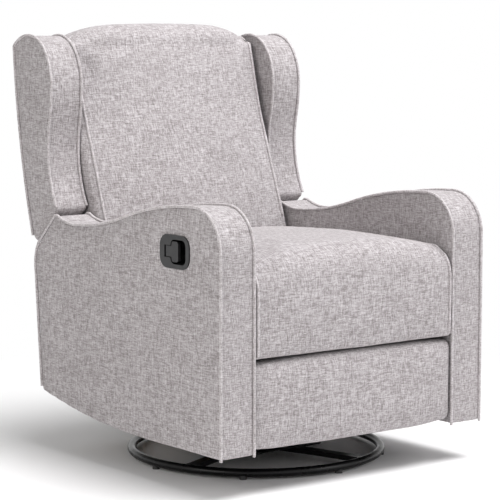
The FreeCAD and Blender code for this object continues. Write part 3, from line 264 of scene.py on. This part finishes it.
# %% Plated and drawn steel
def plated_steel(name, dark, light, rough, brush):
    """Zinc-plated or drawn steel: metal with cloudy plating and fine lines."""
    material, tree, shader = new_material(name)
    where = add_node(tree, "ShaderNodeTexCoord").outputs["Object"]
    lines = add_node(tree, "ShaderNodeMapping", {
        "Vector": where, "Scale": (60.0, 60.0, brush)}).outputs[0]
    grain = patches(tree, lines, 6.0, 4.0)
    cloud = patches(tree, where, 30.0, 2.0)
    gloss = spread_of(tree, grain, 0.3, 0.7, rough - 0.08, rough + 0.08)
    tree.links.new(blend_of(tree, cloud, linear(dark), linear(light)), shader.inputs["Base Color"])
    tree.links.new(gloss, shader.inputs["Roughness"])
    bump = add_node(tree, "ShaderNodeBump", {"Strength": 0.2, "Distance": mm(0.1), "Height": grain})
    tree.links.new(bump.outputs["Normal"], shader.inputs["Normal"])
    shader.inputs["Metallic"].default_value = 1.0
    return material


# %% [markdown]
# The frame is pine, straight from the saw. Its growth rings are noise drawn out along the board, and
# much finer noise gives the fuzz that the saw leaves.

# %% Sawn pine
def sawn_pine(name):
    """Unfinished softwood: growth rings drawn out along the board, rough from the saw."""
    material, tree, shader = new_material(name)
    where = add_node(tree, "ShaderNodeTexCoord").outputs["Object"]
    drawn = add_node(tree, "ShaderNodeMapping", {"Vector": where, "Scale": (6.0, 40.0, 9.0)}).outputs[0]
    rings = add_node(tree, "ShaderNodeTexNoise", {
        "Vector": drawn, "Scale": 3.0, "Detail": 5.0, "Distortion": 0.6}).outputs["Fac"]
    fibre = add_node(tree, "ShaderNodeMapping", {
        "Vector": where, "Scale": (30.0, 900.0, 60.0)}).outputs[0]
    saw = patches(tree, fibre, 2.0, 2.0)
    ring_share = spread_of(tree, rings, 0.35, 0.65)
    colour = blend_of(tree, ring_share, linear("#B98D58"), linear("#DDBB86"))
    tree.links.new(colour, shader.inputs["Base Color"])
    bump = add_node(tree, "ShaderNodeBump", {"Strength": 0.3, "Distance": mm(0.3), "Height": saw})
    tree.links.new(bump.outputs["Normal"], shader.inputs["Normal"])
    shader.inputs["Roughness"].default_value = 0.75
    return material


# %% [markdown]
# The handle is moulded ABS and the glides under the ring are nylon, a little duller. Moulds for such
# parts are spark-eroded, which leaves a fine grain that scatters the highlights.

# %% Moulded plastic
def moulded_plastic(name, colour, rough, grain_strength):
    """Injection-moulded plastic: fine spark grain, slightly uneven gloss."""
    material, tree, shader = new_material(name)
    where = add_node(tree, "ShaderNodeTexCoord").outputs["Object"]
    grain = patches(tree, where, 1800.0, 1.0)
    cloud = patches(tree, where, 60.0, 2.0)
    paler = blend_of(tree, 0.08, linear(colour), linear("#808080"))
    gloss = spread_of(tree, cloud, 0.3, 0.7, rough - 0.05, rough + 0.05)
    tree.links.new(blend_of(tree, cloud, linear(colour), paler), shader.inputs["Base Color"])
    tree.links.new(gloss, shader.inputs["Roughness"])
    bump = add_node(tree, "ShaderNodeBump", {
        "Strength": grain_strength, "Distance": mm(0.05), "Height": grain})
    tree.links.new(bump.outputs["Normal"], shader.inputs["Normal"])
    shader.inputs["IOR"].default_value = 1.53
    return material


# %% [markdown]
# The straps behind the back cushion are woven, with fine ribs across. The black cloth that is stapled
# over bare boards, partly painted shade for the gaps, looks much the same from outside, so it takes
# this finish too.

# %% Black webbing
def strap_webbing(name):
    """Woven elastic strap: fine ribs across a black band."""
    material, tree, shader = new_material(name)
    where = add_node(tree, "ShaderNodeTexCoord").outputs["Object"]
    ribs = ripple(tree, where, 2, mm(4))
    colour = blend_of(tree, spread_of(tree, ribs, -1.0, 1.0), linear("#121214"), linear("#2C2C30"))
    tree.links.new(colour, shader.inputs["Base Color"])
    bump = add_node(tree, "ShaderNodeBump", {"Strength": 0.4, "Distance": mm(0.4), "Height": ribs})
    tree.links.new(bump.outputs["Normal"], shader.inputs["Normal"])
    shader.inputs["Roughness"].default_value = 0.85
    return material


# %% [markdown]
# The record names a finish for each part by its slot, so the finishes are kept under those names.

# %% All the finishes
finishes = {
    "upholstery_fabric": fabric,
    "black_steel": powder_coat("steel_black_powder_coat"),
    "mechanism_steel": plated_steel("steel_zinc_plated", "#5C5D60", "#8C8D90", 0.42, 8.0),
    "bearing_steel": plated_steel("steel_ground_polished", "#B8B8BA", "#DADADC", 0.15, 60.0),
    "spring_steel": plated_steel("steel_drawn_wire", "#3A3A3D", "#66666A", 0.38, 60.0),
    "hardwood": sawn_pine("pine_sawn"),
    "black_plastic": moulded_plastic("abs_black_moulded", "#141416", 0.36, 0.25),
    "glide_plastic": moulded_plastic("nylon_black_moulded", "#101011", 0.5, 0.15),
    "webbing": strap_webbing("polypropylene_webbing_woven"),
}
print("made", len(finishes), "finishes")

# %% [markdown]
# ## Finishes on the hard parts
# The record says which finish each part of the model takes. The parts stay where they are and keep
# their shapes; only their materials change here.

# %% Put the finishes on the model
def dress(piece, slot):
    """Gives a piece the finish of its slot, in place of whatever it had."""
    piece.data.materials.clear()
    piece.data.materials.append(finishes[slot])


for part in frame["record"]["subparts"]:
    dress(nodes[part["node"]], part["material_slot"])

# %% [markdown]
# A mould has rounded edges, which catch thin lines of light. The handle plate and lever keep their
# meshes, and live modifiers join their loose triangles and round the edges by about a millimetre.

# %% Soften the moulded edges
for name, width in (("handle_bezel", 1.2), ("release_lever", 0.9)):
    moulding = nodes[name]
    weld = moulding.modifiers.new("joined corners", "WELD")
    weld.merge_threshold = mm(0.01)
    edge = moulding.modifiers.new("moulded edges", "BEVEL")
    edge.width, edge.segments, edge.angle_limit = mm(width), 3, radians(35)
    moulding.modifiers.new("even shading", "WEIGHTED_NORMAL")
print("softened the handle")

# %% [markdown]
# ## Outlines for the sewn covers
# An arm or a wing is two flat side panels with a band sewn round between them. The side outline is
# already in the model, as the rim of its flat side face, so it is read from there instead of being
# drawn again. Long straight runs get extra corners, because a cover bends between its corners only.

# %% Read and draw outlines
def side_outline(node, step):
    """Corners (y, z) round the flat left-hand side of a part, at most step apart."""
    mesh = bmesh.new()
    mesh.from_mesh(nodes[node].data)
    bmesh.ops.remove_doubles(mesh, verts=mesh.verts, dist=mm(0.02))
    far = max(v.co.x for v in mesh.verts)
    flat = {f for f in mesh.faces if all(far - v.co.x < mm(0.05) for v in f.verts)}
    after = {}
    for face in flat:
        for loop in face.loops:
            if sum(f in flat for f in loop.edge.link_faces) == 1:
                after[loop.vert.index] = loop.link_loop_next.vert.index
    mesh.verts.ensure_lookup_table()
    start = max(after, key=lambda i: mesh.verts[i].co.z)
    ring = [start]
    while after[ring[-1]] != start:
        ring.append(after[ring[-1]])
    corners = [mesh.verts[i].co.copy() for i in ring]
    mesh.free()
    dense = []
    for here, there in zip(corners, corners[1:] + corners[:1]):
        pieces = max(1, int((there - here).length / step + 0.5))
        dense += [here.lerp(there, i / pieces) for i in range(pieces)]
    return [(p.y, p.z) for p in dense]


def drawn_round(name, points):
    """A closed outline through the points, made from a circle with a corner for each."""
    bpy.ops.object.select_all(action="DESELECT")
    bpy.ops.mesh.primitive_circle_add(vertices=len(points), radius=0.1, fill_type="NGON")
    outline = bpy.context.object
    outline.name = name
    for corner, point in zip(outline.data.vertices, points):
        corner.co = point
    return outline


def block_from(name, outline, x0, x1):
    """A solid with this side outline, pulled out from x0 to x1."""
    block = drawn_round(name, [Vector((x0, y, z)) for y, z in outline])
    bpy.ops.object.mode_set(mode="EDIT")
    bpy.ops.mesh.select_all(action="SELECT")
    bpy.ops.mesh.extrude_region_move(TRANSFORM_OT_translate={"value": (x1 - x0, 0, 0)})
    bpy.ops.mesh.select_all(action="SELECT")
    bpy.ops.mesh.normals_make_consistent(inside=False)
    bpy.ops.object.mode_set(mode="OBJECT")
    return block


# %% [markdown]
# ## Stuffing the covers
# Foam presses a sewn cover outwards everywhere except at its seams. Blender's cloth does the same:
# the piece gets an even mesh, the places along its seams are pinned, and pressure swells the rest.
# Gravity stays off, because foam carries its cover. How far a point may move is capped, so that the
# piece keeps its size. Afterwards a faint unevenness is added, as on any cover that has been sat on.

# %% Stuff a cover
FRAMES = 12
PINNED_SHARE = 0.75
UNEVEN_SIZE = mm(110)


def near_seams(piece, seams, reach):
    """Puts the points within reach of the seam lines in a vertex group."""
    tree = kdtree.KDTree(len(seams))
    for i, point in enumerate(seams):
        tree.insert(point, i)
    tree.balance()
    group = piece.vertex_groups.new(name="sewn")
    found = [v.index for v in piece.data.vertices if tree.find(v.co)[2] < reach]
    group.add(found, 1.0, "REPLACE")


def swell(piece, cap, pressure):
    """Runs the cloth, then moves each point outwards as far as it rose, up to cap(point)."""
    pick(piece)
    bpy.ops.object.modifier_add(type="CLOTH")
    cloth = piece.modifiers[-1]
    cloth.settings.quality = 4
    cloth.settings.mass = 0.4
    cloth.settings.tension_stiffness = 20
    cloth.settings.compression_stiffness = 20
    cloth.settings.bending_stiffness = 2
    cloth.settings.use_pressure = True
    cloth.settings.uniform_pressure_force = pressure
    cloth.settings.effector_weights.gravity = 0
    cloth.settings.vertex_group_mass = "sewn"
    cloth.point_cache.frame_start = 1
    cloth.point_cache.frame_end = FRAMES
    for step in range(1, FRAMES + 1):
        bpy.context.scene.frame_set(step)
    blown = piece.evaluated_get(bpy.context.evaluated_depsgraph_get()).to_mesh()
    moved = [v.co.copy() for v in blown.vertices]
    piece.modifiers.remove(cloth)
    bpy.context.scene.frame_set(1)
    outward = [corner.normal.copy() for corner in piece.data.vertices]
    for corner, normal, target in zip(piece.data.vertices, outward, moved):
        rise = max(0.0, (target - corner.co).dot(normal))
        limit = cap(corner.co)
        corner.co += normal * limit * (1 - exp(-rise / limit))


def uneven(piece, height, size, seed):
    """Moves the surface in and out by a slow noise."""
    outward = [corner.normal.copy() for corner in piece.data.vertices]
    for corner, normal in zip(piece.data.vertices, outward):
        corner.co += normal * noise.noise(corner.co / size + Vector((seed, 0, 0))) * height


def stuffed(piece, seams, voxel, cap, pressure, height=mm(1.2), seed=0.0):
    """Even mesh, pinned seams, pressure, a soft unevenness and one subdivision."""
    pick(piece)
    piece.data.remesh_voxel_size = voxel
    bpy.ops.object.voxel_remesh()
    near_seams(piece, seams, voxel * PINNED_SHARE)
    swell(piece, cap, pressure)
    piece.vertex_groups.clear()
    uneven(piece, height, UNEVEN_SIZE, seed)
    apply_modifier(piece, "SUBSURF", levels=1, render_levels=1)
    bpy.ops.object.shade_smooth()
    dress(piece, "upholstery_fabric")
    print("stuffed", piece.name, len(piece.data.polygons), "faces")


# %% [markdown]
# ## Welts
# A welt is a thin cord wrapped in a strip of the cover and sewn into a seam. It is what draws the
# crisp line round each arm and wing. A wire is drawn along the seam, turned into a curve, given a
# round section, and turned back into a mesh.

# %% Sew a welt
WELT = mm(3.4)
WELT_LIFT = mm(1.6)
OUTER_WELT_OUT = mm(0.5)
INNER_WELT_OUT = mm(0.3)


def welt(name, points, radius=WELT, closed=False):
    """A round cord through the points."""
    cord = drawn_round(name, points)
    bpy.ops.object.mode_set(mode="EDIT")
    bpy.ops.mesh.select_all(action="SELECT")
    bpy.ops.mesh.delete(type="ONLY_FACE")
    bpy.ops.object.mode_set(mode="OBJECT")
    if not closed:
        ends = {0, len(points) - 1}
        mesh = bmesh.new()
        mesh.from_mesh(cord.data)
        last = [e for e in mesh.edges if {v.index for v in e.verts} == ends]
        bmesh.ops.delete(mesh, geom=last, context="EDGES")
        mesh.to_mesh(cord.data)
        mesh.free()
    pick(cord)
    bpy.ops.object.convert(target="CURVE")
    cord = bpy.context.object
    cord.data.bevel_depth = radius
    cord.data.bevel_resolution = 3
    cord.data.use_fill_caps = True
    bpy.ops.object.convert(target="MESH")
    cord = bpy.context.object
    bpy.ops.object.shade_smooth()
    cord.data.materials.clear()
    # The cord takes the paler cloth, a painted highlight along its seam.
    cord.data.materials.append(painted_highlight_fabric)
    return cord


def lifted(run, middle, lift=WELT_LIFT):
    """An outline run (y, z) moved away from the middle by lift, square to its own direction."""
    result = []
    for i, (y, z) in enumerate(run):
        before, after = run[max(0, i - 1)], run[min(len(run) - 1, i + 1)]
        along = Vector((after[0] - before[0], after[1] - before[1])).normalized()
        across = Vector((along.y, -along.x))
        if across.dot(Vector((y, z)) - middle) < 0:
            across = -across
        result.append((y + across.x * lift, z + across.y * lift))
    return result


# %% [markdown]
# ## Mirrored pieces
# The left and right arms and wings are the same shape turned over. One of each is made, and its copy
# has every point moved to the other side. That turns the faces inside out, so they are flipped back.

# %% Copy a piece to the other side
def mirrored(piece, name):
    """A copy on the other side of the chair, with its faces pointing outwards."""
    pick(piece)
    bpy.ops.object.duplicate()
    other = bpy.context.object
    other.name = name
    for corner in other.data.vertices:
        corner.co.x = -corner.co.x
    bpy.ops.object.mode_set(mode="EDIT")
    bpy.ops.mesh.select_all(action="SELECT")
    bpy.ops.mesh.flip_normals()
    bpy.ops.object.mode_set(mode="OBJECT")
    return other


# %% [markdown]
# ## What each piece belongs to
# The chair moves, so every new piece is hung on the moving body that carries it, and the plain solid
# that each cover takes the place of is hidden.

# %% Hand a piece to its body
def finish_cover(cover, node, body):
    """Hides the plain solid that a cover takes the place of, and hangs the cover on the body it rides
    on.
    """
    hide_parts(node)
    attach(cover, body)


def finish_cord(cord, body):
    """Hangs a cord on the body that it rides on."""
    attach(cord, body)


SIDE_REACH = mm(1.5)


def rise_limit(low, high, outer, inner, band):
    """How far a cover may rise: on its outer side, on its inner side, and on the band between."""
    def limit(point):
        if point.x > high.x - SIDE_REACH:
            return outer
        if point.x < low.x + SIDE_REACH:
            return inner
        return band
    return limit


# %% [markdown]
# ## Arms
# Each arm is a box of hardboard and wood under a thin layer of foam: flat sides, and a band about
# 90 mm wide that runs up the rolled front, over the dipped top and down behind. The band swells most,
# about 11 mm in its middle. The inner side lies against the seat, so it hardly swells.

# %% Left arm
ARM_STEP = mm(12)
arm_low, arm_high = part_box("arm_left")
arm_outline = side_outline("arm_left", ARM_STEP)
arm_rim = side_outline("arm_left", mm(3))
BAND_RISE = mm(11)
OUTER_RISE = mm(3.5)
INNER_RISE = mm(1.0)


def seam_points(outline, x):
    """An outline (y, z) as points in space, at a distance x from the middle of the chair."""
    return [Vector((x, y, z)) for y, z in outline]


arm_left = block_from("arm_left_cover", arm_outline, arm_low.x, arm_high.x)
arm_seams = seam_points(arm_rim, arm_low.x) + seam_points(arm_rim, arm_high.x)
arm_limit = rise_limit(arm_low, arm_high, OUTER_RISE, INNER_RISE, BAND_RISE)
stuffed(arm_left, arm_seams, voxel=mm(8), cap=arm_limit, pressure=30.0, seed=3.0)

# %% [markdown]
# The welts follow the outline, from the front foot up over the roll, along the top, and down the
# slope and the rear edge. They start a few millimetres below the cover, as the sewn ends do.

# %% Arm welts
def both_runs(outline, first, last):
    """The two ways round a closed outline, from the corner nearest first to the one nearest last."""
    def nearest(target):
        return min(range(len(outline)), key=lambda i: (Vector(outline[i]) - Vector(target)).length)
    a, b = nearest(first), nearest(last)
    forward = [outline[(a + i) % len(outline)] for i in range((b - a) % len(outline) + 1)]
    backward = [outline[(a - i) % len(outline)] for i in range((a - b) % len(outline) + 1)]
    return forward, backward


def run_over(outline, first, last, top):
    """Of the two ways round the outline, the one that passes above the height top."""
    return max(both_runs(outline, first, last), key=lambda run: sum(z > top for y, z in run))


fine_outline = side_outline("arm_left", mm(6))
front_foot = (arm_low.y, arm_low.z)
rear_foot = (mm(361), mm(153))
arm_middle = Vector((mm(-100), mm(360)))
arm_run = run_over(fine_outline, front_foot, rear_foot, mm(450))
arm_run = lifted([(front_foot[0], front_foot[1] - mm(3))] + arm_run, arm_middle)
welt_outer = welt("arm_left_welt_outer", seam_points(arm_run, arm_high.x + OUTER_WELT_OUT))
welt_inner = welt("arm_left_welt_inner", seam_points(arm_run, arm_low.x - INNER_WELT_OUT))
print("arm welts have", len(arm_run), "corners")

# %% [markdown]
# The right arm is the left one turned over. The release handle sits in its outer side: the cover is
# drawn in round the handle plate, and a pocket is cut for the cup behind it.

# %% Right arm
plate_low, plate_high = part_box("handle_bezel")
plate_centre = (plate_low + plate_high) / 2
PLATE_DRAW = mm(55)


def drawn_in_round_plate(cover):
    """Lays the cover back on its flat side near the handle plate."""
    flat = -arm_high.x
    for corner in cover.data.vertices:
        if corner.co.x < flat + mm(1):
            dy = max(0.0, abs(corner.co.y - plate_centre.y) - (plate_high.y - plate_low.y) / 2)
            dz = max(0.0, abs(corner.co.z - plate_centre.z) - (plate_high.z - plate_low.z) / 2)
            share = smooth_step((dy * dy + dz * dz) ** 0.5, 0.0, PLATE_DRAW)
            corner.co.x = flat + (corner.co.x - flat) * share


def pocket_for_cup(cover):
    """Cuts the pocket that holds the handle's cup, a little larger than the cup."""
    depth, length, height = mm(36), mm(99), mm(64)
    corner_radius = mm(15)
    pocket_x = -arm_high.x + mm(11)
    bpy.ops.object.select_all(action="DESELECT")
    bpy.ops.mesh.primitive_cube_add(
        size=1, location=(pocket_x, plate_centre.y, plate_centre.z), scale=(depth, length, height))
    cutter = bpy.context.object
    bpy.ops.object.transform_apply(location=True, rotation=True, scale=True)
    apply_modifier(cutter, "BEVEL", width=corner_radius, segments=3)
    apply_modifier(cover, "BOOLEAN", operation="DIFFERENCE", object=cutter, solver="EXACT")
    bpy.data.objects.remove(cutter)


arm_right = mirrored(arm_left, "arm_right_cover")
drawn_in_round_plate(arm_right)
pocket_for_cup(arm_right)
arm_welts = [welt_outer, welt_inner,
             mirrored(welt_outer, "arm_right_welt_outer"), mirrored(welt_inner, "arm_right_welt_inner")]
finish_cover(arm_left, "arm_left", "chair")
finish_cover(arm_right, "arm_right", "chair")
for cord in arm_welts:
    finish_cord(cord, "chair")
print("arms done")

# %% [markdown]
# ## Wings
# The wings stand on the backrest beside the sitter's head and turn with it. They are made as the
# arms are: two side panels and a band that swells up to 13 mm, with a welt along both edges.

# %% Wings
wing_low, wing_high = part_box("wing_left")
wing_outline = side_outline("wing_left", mm(10))
wing_rim = side_outline("wing_left", mm(3))
WING_BAND_RISE = mm(13)
WING_OUTER_RISE = mm(4)
WING_INNER_RISE = mm(4)
wing_left = block_from("wing_left_cover", wing_outline, wing_low.x, wing_high.x)
wing_seams = seam_points(wing_rim, wing_low.x) + seam_points(wing_rim, wing_high.x)
wing_limit = rise_limit(wing_low, wing_high, WING_OUTER_RISE, WING_INNER_RISE, WING_BAND_RISE)
stuffed(wing_left, wing_seams, voxel=mm(7), cap=wing_limit, pressure=90.0, seed=8.0)
wing_right = mirrored(wing_left, "wing_right_cover")

# %% [markdown]
# The wing's welts run from its front foot up over the top and down behind, found as the arm's were.

# %% Wing welts
fine_wing = side_outline("wing_left", mm(6))
wing_front_foot = (mm(297), mm(598))
wing_rear_foot = (mm(403), mm(522))
wing_middle = Vector((mm(395), mm(760)))
wing_run = lifted(run_over(fine_wing, wing_front_foot, wing_rear_foot, mm(800)), wing_middle)
wing_welts = [welt("wing_left_welt_outer", seam_points(wing_run, wing_high.x + OUTER_WELT_OUT)),
              welt("wing_left_welt_inner", seam_points(wing_run, wing_low.x - INNER_WELT_OUT))]
wing_welts += [mirrored(wing_welts[0], "wing_right_welt_outer"),
               mirrored(wing_welts[1], "wing_right_welt_inner")]
finish_cover(wing_left, "wing_left", "backrest")
finish_cover(wing_right, "wing_right", "backrest")
for cord in wing_welts:
    finish_cord(cord, "backrest")
print("wings done")

# %% [markdown]
# ## Seat, footrest and back cushion
# These three start from the plain solids in the model, which already have the right crown. A copy is
# welded together and stuffed like the arms, but its cover may rise only a few millimetres.

# %% Copy a soft part of the model
def copy_of(node, name):
    """A welded copy of a part's mesh."""
    cover = bpy.data.objects.new(name, nodes[node].data.copy())
    bpy.context.scene.collection.objects.link(cover)
    mesh = bmesh.new()
    mesh.from_mesh(cover.data)
    bmesh.ops.remove_doubles(mesh, verts=mesh.verts, dist=mm(0.02))
    mesh.to_mesh(cover.data)
    mesh.free()
    cover.data.update()
    return cover


# %% Seat cushion
seat_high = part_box("seat_cushion")[1]
seat = copy_of("seat_cushion", "seat_cover")
seat_outline = side_outline("seat_cushion", mm(3))
seat_seams = seam_points(seat_outline, seat_high.x) + seam_points(seat_outline, -seat_high.x)
stuffed(seat, seat_seams, voxel=mm(8), cap=lambda point: mm(3), pressure=4.0,
        height=mm(1.8), seed=1.0)
finish_cover(seat, "seat_cushion", "chair")

# %% [markdown]
# The seat's side seams carry a thin piping. Lines sent towards the cushion, first from the front and
# then from above, find where its surface lies, and the cord is laid there. The heights and depths
# that the lines start from are in millimetres.

# %% Seat piping
PIPING = mm(3.4)
PIPING_LIFT = mm(1.5)
SEAM_STEP = 8


def laid_on(cover, starts, direction):
    """Points just above the cover, where lines from the start points first meet it."""
    found = [cover.ray_cast(start, direction) for start in starts]
    return [hit[1] - direction * PIPING_LIFT for hit in found if hit[0]]


def side_piping(name, cover, body, starts_front, starts_top):
    """A cord along a cover, up its front and then over its top."""
    line = laid_on(cover, starts_front, Vector((0, 1, 0)))
    line += laid_on(cover, starts_top, Vector((0, 0, -1)))
    finish_cord(welt(name, line, PIPING), body)
    print(name, "has", len(line), "points")


SEAT_SEAM = seat_high.x - mm(7)
UP_THE_SEAT = range(312, 500, SEAM_STEP)
OVER_THE_SEAT = range(-330, 120, 10)
for side, hand in ((1, "left"), (-1, "right")):
    before = [Vector((side * SEAT_SEAM, mm(-600), mm(z))) for z in UP_THE_SEAT]
    above = [Vector((side * SEAT_SEAM, mm(y), mm(800))) for y in OVER_THE_SEAT]
    side_piping("seat_piping_" + hand, seat, "chair", before, above)

# %% [markdown]
# The footrest pad is a flat upholstered board. Only its rear edges, where the cover is stapled to
# the board, are pinned, so that its front swells evenly.

# %% Footrest pad
rest = copy_of("footrest_pad", "footrest_cover")
rest_low, rest_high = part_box("footrest_pad")
RIM_STEP = mm(3)
rest_rim = [Vector((rest_low.x + i * RIM_STEP, rest_high.y - RIM_STEP, z))
            for z in (rest_low.z + RIM_STEP, rest_high.z - RIM_STEP) for i in range(193)]
stuffed(rest, rest_rim, voxel=mm(7), cap=lambda point: mm(3), pressure=8.0,
        height=mm(1.4), seed=5.0)
finish_cover(rest, "footrest_pad", "footrest")

# %% [markdown]
# The back cushion is the fullest piece. It leans with the backrest, is pinned along both of its side
# outlines, and has the strongest unevenness, as loose fibre filling gives.

# %% Back cushion
back = copy_of("back_cushion", "back_cover")
back_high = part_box("back_cushion")[1]
back_outline = side_outline("back_cushion", mm(3))
back_seams = seam_points(back_outline, back_high.x) + seam_points(back_outline, -back_high.x)
stuffed(back, back_seams, voxel=mm(9), cap=lambda point: mm(4), pressure=4.0,
        height=mm(2.5), seed=2.0)
finish_cover(back, "back_cushion", "backrest")

# %% [markdown]
# Its front panel ends in a piping on each side, a little inside its widest line. It is found like
# the seat's.

# %% Back piping
BACK_SEAM = mm(270)
UP_THE_BACK = range(548, 1006, SEAM_STEP)
OVER_THE_BACK = range(400, 446, SEAM_STEP)
for side, hand in ((1, "left"), (-1, "right")):
    before = [Vector((side * BACK_SEAM, mm(-300), mm(z))) for z in UP_THE_BACK]
    above = [Vector((side * BACK_SEAM, mm(y), mm(1200))) for y in OVER_THE_BACK]
    side_piping("back_piping_" + hand, back, "backrest", before, above)

# %% [markdown]
# The wood that faces the gaps is not left bare: black cloth is stapled round the stiles beside the
# cushion, the two boards behind the footrest and the board under its pad. Its black is partly painted
# shade: it stands in for the shade deep in these gaps.

# %% Stapled black cloth
def wrapped(node, body):
    """A thin black cloth round a board, partly painted shade for the gap beside it."""
    cloth = copy_of(node, node + "_cloth")
    apply_modifier(cloth, "DISPLACE", strength=mm(0.3), mid_level=0.0)
    dress(cloth, "webbing")
    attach(cloth, body)


for node, body in (("back_stile_left", "backrest"), ("back_stile_right", "backrest"),
                   ("seat_front_rail", "chair"), ("front_stretcher", "chair"),
                   ("footrest_board", "footrest")):
    wrapped(node, body)
print("wrapped the bare boards")

# %% [markdown]
# The outside back and the panel below it are thin padded boards. Their seams are their sharp edges,
# which are found by the angle between the faces beside them.

# %% Rear panels
SHARP = radians(40)


def rim_of(cover, angle):
    """Points along the sharp edges of a cover."""
    mesh = bmesh.new()
    mesh.from_mesh(cover.data)
    sharp = [e for e in mesh.edges if e.is_manifold and e.calc_face_angle() > angle]
    points = [e.verts[0].co.lerp(e.verts[1].co, i / 20) for e in sharp for i in range(21)]
    mesh.free()
    return points


outside = copy_of("outside_back", "outside_back_cover")
stuffed(outside, rim_of(outside, SHARP), voxel=mm(9), cap=lambda point: mm(3), pressure=8.0,
        height=mm(1.0), seed=6.0)
finish_cover(outside, "outside_back", "backrest")
lower = copy_of("lower_back_panel", "lower_back_cover")
stuffed(lower, rim_of(lower, SHARP), voxel=mm(7), cap=lambda point: mm(2), pressure=8.0,
        height=mm(0.8), seed=7.0)
finish_cover(lower, "lower_back_panel", "chair")

# %% [markdown]
# ## Floor, light and camera
# The chair stands in a white studio. The floor is a plain pale sheet that keeps the soft shadow and
# fades into the white background.

# %% Floor
FLOOR_RADIUS = 14
FADE_START = 0.55
FADE_END = 1.6


def studio_floor():
    """A large pale sheet under the glides that turns plain white further out."""
    bpy.ops.object.select_all(action="DESELECT")
    bpy.ops.mesh.primitive_circle_add(
        vertices=96, radius=FLOOR_RADIUS, fill_type="NGON", location=(0, 0, 0))
    floor = bpy.context.object
    floor.name = "studio_floor"
    material, tree, shader = new_material("paper_backdrop_matt")
    shader.inputs["Base Color"].default_value = linear("#F2F2F2")
    shader.inputs["Roughness"].default_value = 0.9
    where = add_node(tree, "ShaderNodeTexCoord").outputs["Object"]
    distance = add_node(tree, "ShaderNodeVectorMath", {0: where}, operation="LENGTH").outputs["Value"]
    far = spread_of(tree, distance, FADE_START, FADE_END)
    rays = add_node(tree, "ShaderNodeLightPath").outputs
    white = add_node(tree, "ShaderNodeEmission", {"Color": (1, 1, 1, 1), "Strength": 1.0}).outputs[0]
    seen = add_node(tree, "ShaderNodeMath", {0: far, 1: rays["Is Camera Ray"]}, operation="MULTIPLY")
    mix = add_node(tree, "ShaderNodeMixShader", {
        "Fac": seen.outputs[0], 1: shader.outputs[0], 2: white})
    output = tree.nodes["Material Output"]
    tree.links.new(mix.outputs[0], output.inputs["Surface"])
    floor.data.materials.append(material)


studio_floor()
print("laid the floor")

# %% [markdown]
# Three softboxes stand far enough away to light the chair evenly: a large one above, a weaker one in
# front on the chair's left, and a slightly warm one on its right.

# %% Light
def soft_lamp(name, place, target, size, power, colour):
    """A square studio softbox that faces its target."""
    lamp = bpy.data.lights.new(name, "AREA")
    lamp.shape = "SQUARE"
    lamp.size = size
    lamp.energy = power
    lamp.color = colour
    box = bpy.data.objects.new(name, lamp)
    bpy.context.scene.collection.objects.link(box)
    box.location = place
    box.rotation_euler = (Vector(target) - Vector(place)).to_track_quat("-Z", "Y").to_euler()


soft_lamp("top_softbox", (0.9, -1.4, 5.6), (0, 0, 0.5), 3.4, 400, (1.0, 0.99, 1.0))
soft_lamp("front_softbox", (2.2, -3.6, 1.9), (0, 0, 0.6), 2.0, 34, (1.0, 0.985, 1.0))
soft_lamp("side_softbox", (-3.4, -0.8, 1.6), (0, 0, 0.5), 2.0, 30, (1.0, 0.97, 0.93))

print("placed the softboxes")

# %% [markdown]
# The white room fills the shadows. It looks pure white to the camera and in reflections, but lights
# the chair with less than that, so that pale cloth doesn't wash out.

# %% White room
ROOM_LIGHT = 0.38

world = bpy.data.worlds.new("white_studio")
bpy.context.scene.world = world
world.use_nodes = True
sky = world.node_tree
rays = add_node(sky, "ShaderNodeLightPath").outputs
seen = add_node(sky, "ShaderNodeMath", {
    0: rays["Is Camera Ray"], 1: rays["Is Glossy Ray"]}, operation="MAXIMUM").outputs[0]
seen = add_node(sky, "ShaderNodeMath", {
    0: seen, 1: rays["Is Transmission Ray"]}, operation="MAXIMUM").outputs[0]
level = spread_of(sky, seen, 0.0, 1.0, ROOM_LIGHT, 1.0)
background = sky.nodes["Background"]
background.inputs["Color"].default_value = (1, 1, 1, 1)
sky.links.new(level, background.inputs["Strength"])
print("lit the room")

# %% [markdown]
# The camera is where the photograph was taken from: low, about five metres away, in front of the
# chair and to its right-hand side, with a long lens. Its place and direction come from fitting the
# chair's proportions to the photograph.

# %% Camera
CAMERA_PLACE = mm(-2920.0, -3812.9, 1028.7)
CAMERA_BACK = Vector((-0.6019, -0.7909, 0.1104))
lens = bpy.data.cameras.new("long_lens")
lens.sensor_width = 36.0
lens.lens = 144.05
lens.clip_end = 100.0
camera = bpy.data.objects.new("camera", lens)
bpy.context.scene.collection.objects.link(camera)
camera.location = CAMERA_PLACE
camera.rotation_mode = "QUATERNION"
camera.rotation_quaternion = (-CAMERA_BACK).to_track_quat("-Z", "Y")
bpy.context.scene.camera = camera
bpy.context.scene.view_settings.view_transform = "Standard"
print("camera", round((CAMERA_PLACE - mm(0, 0, 490)).length, 2), "m away")
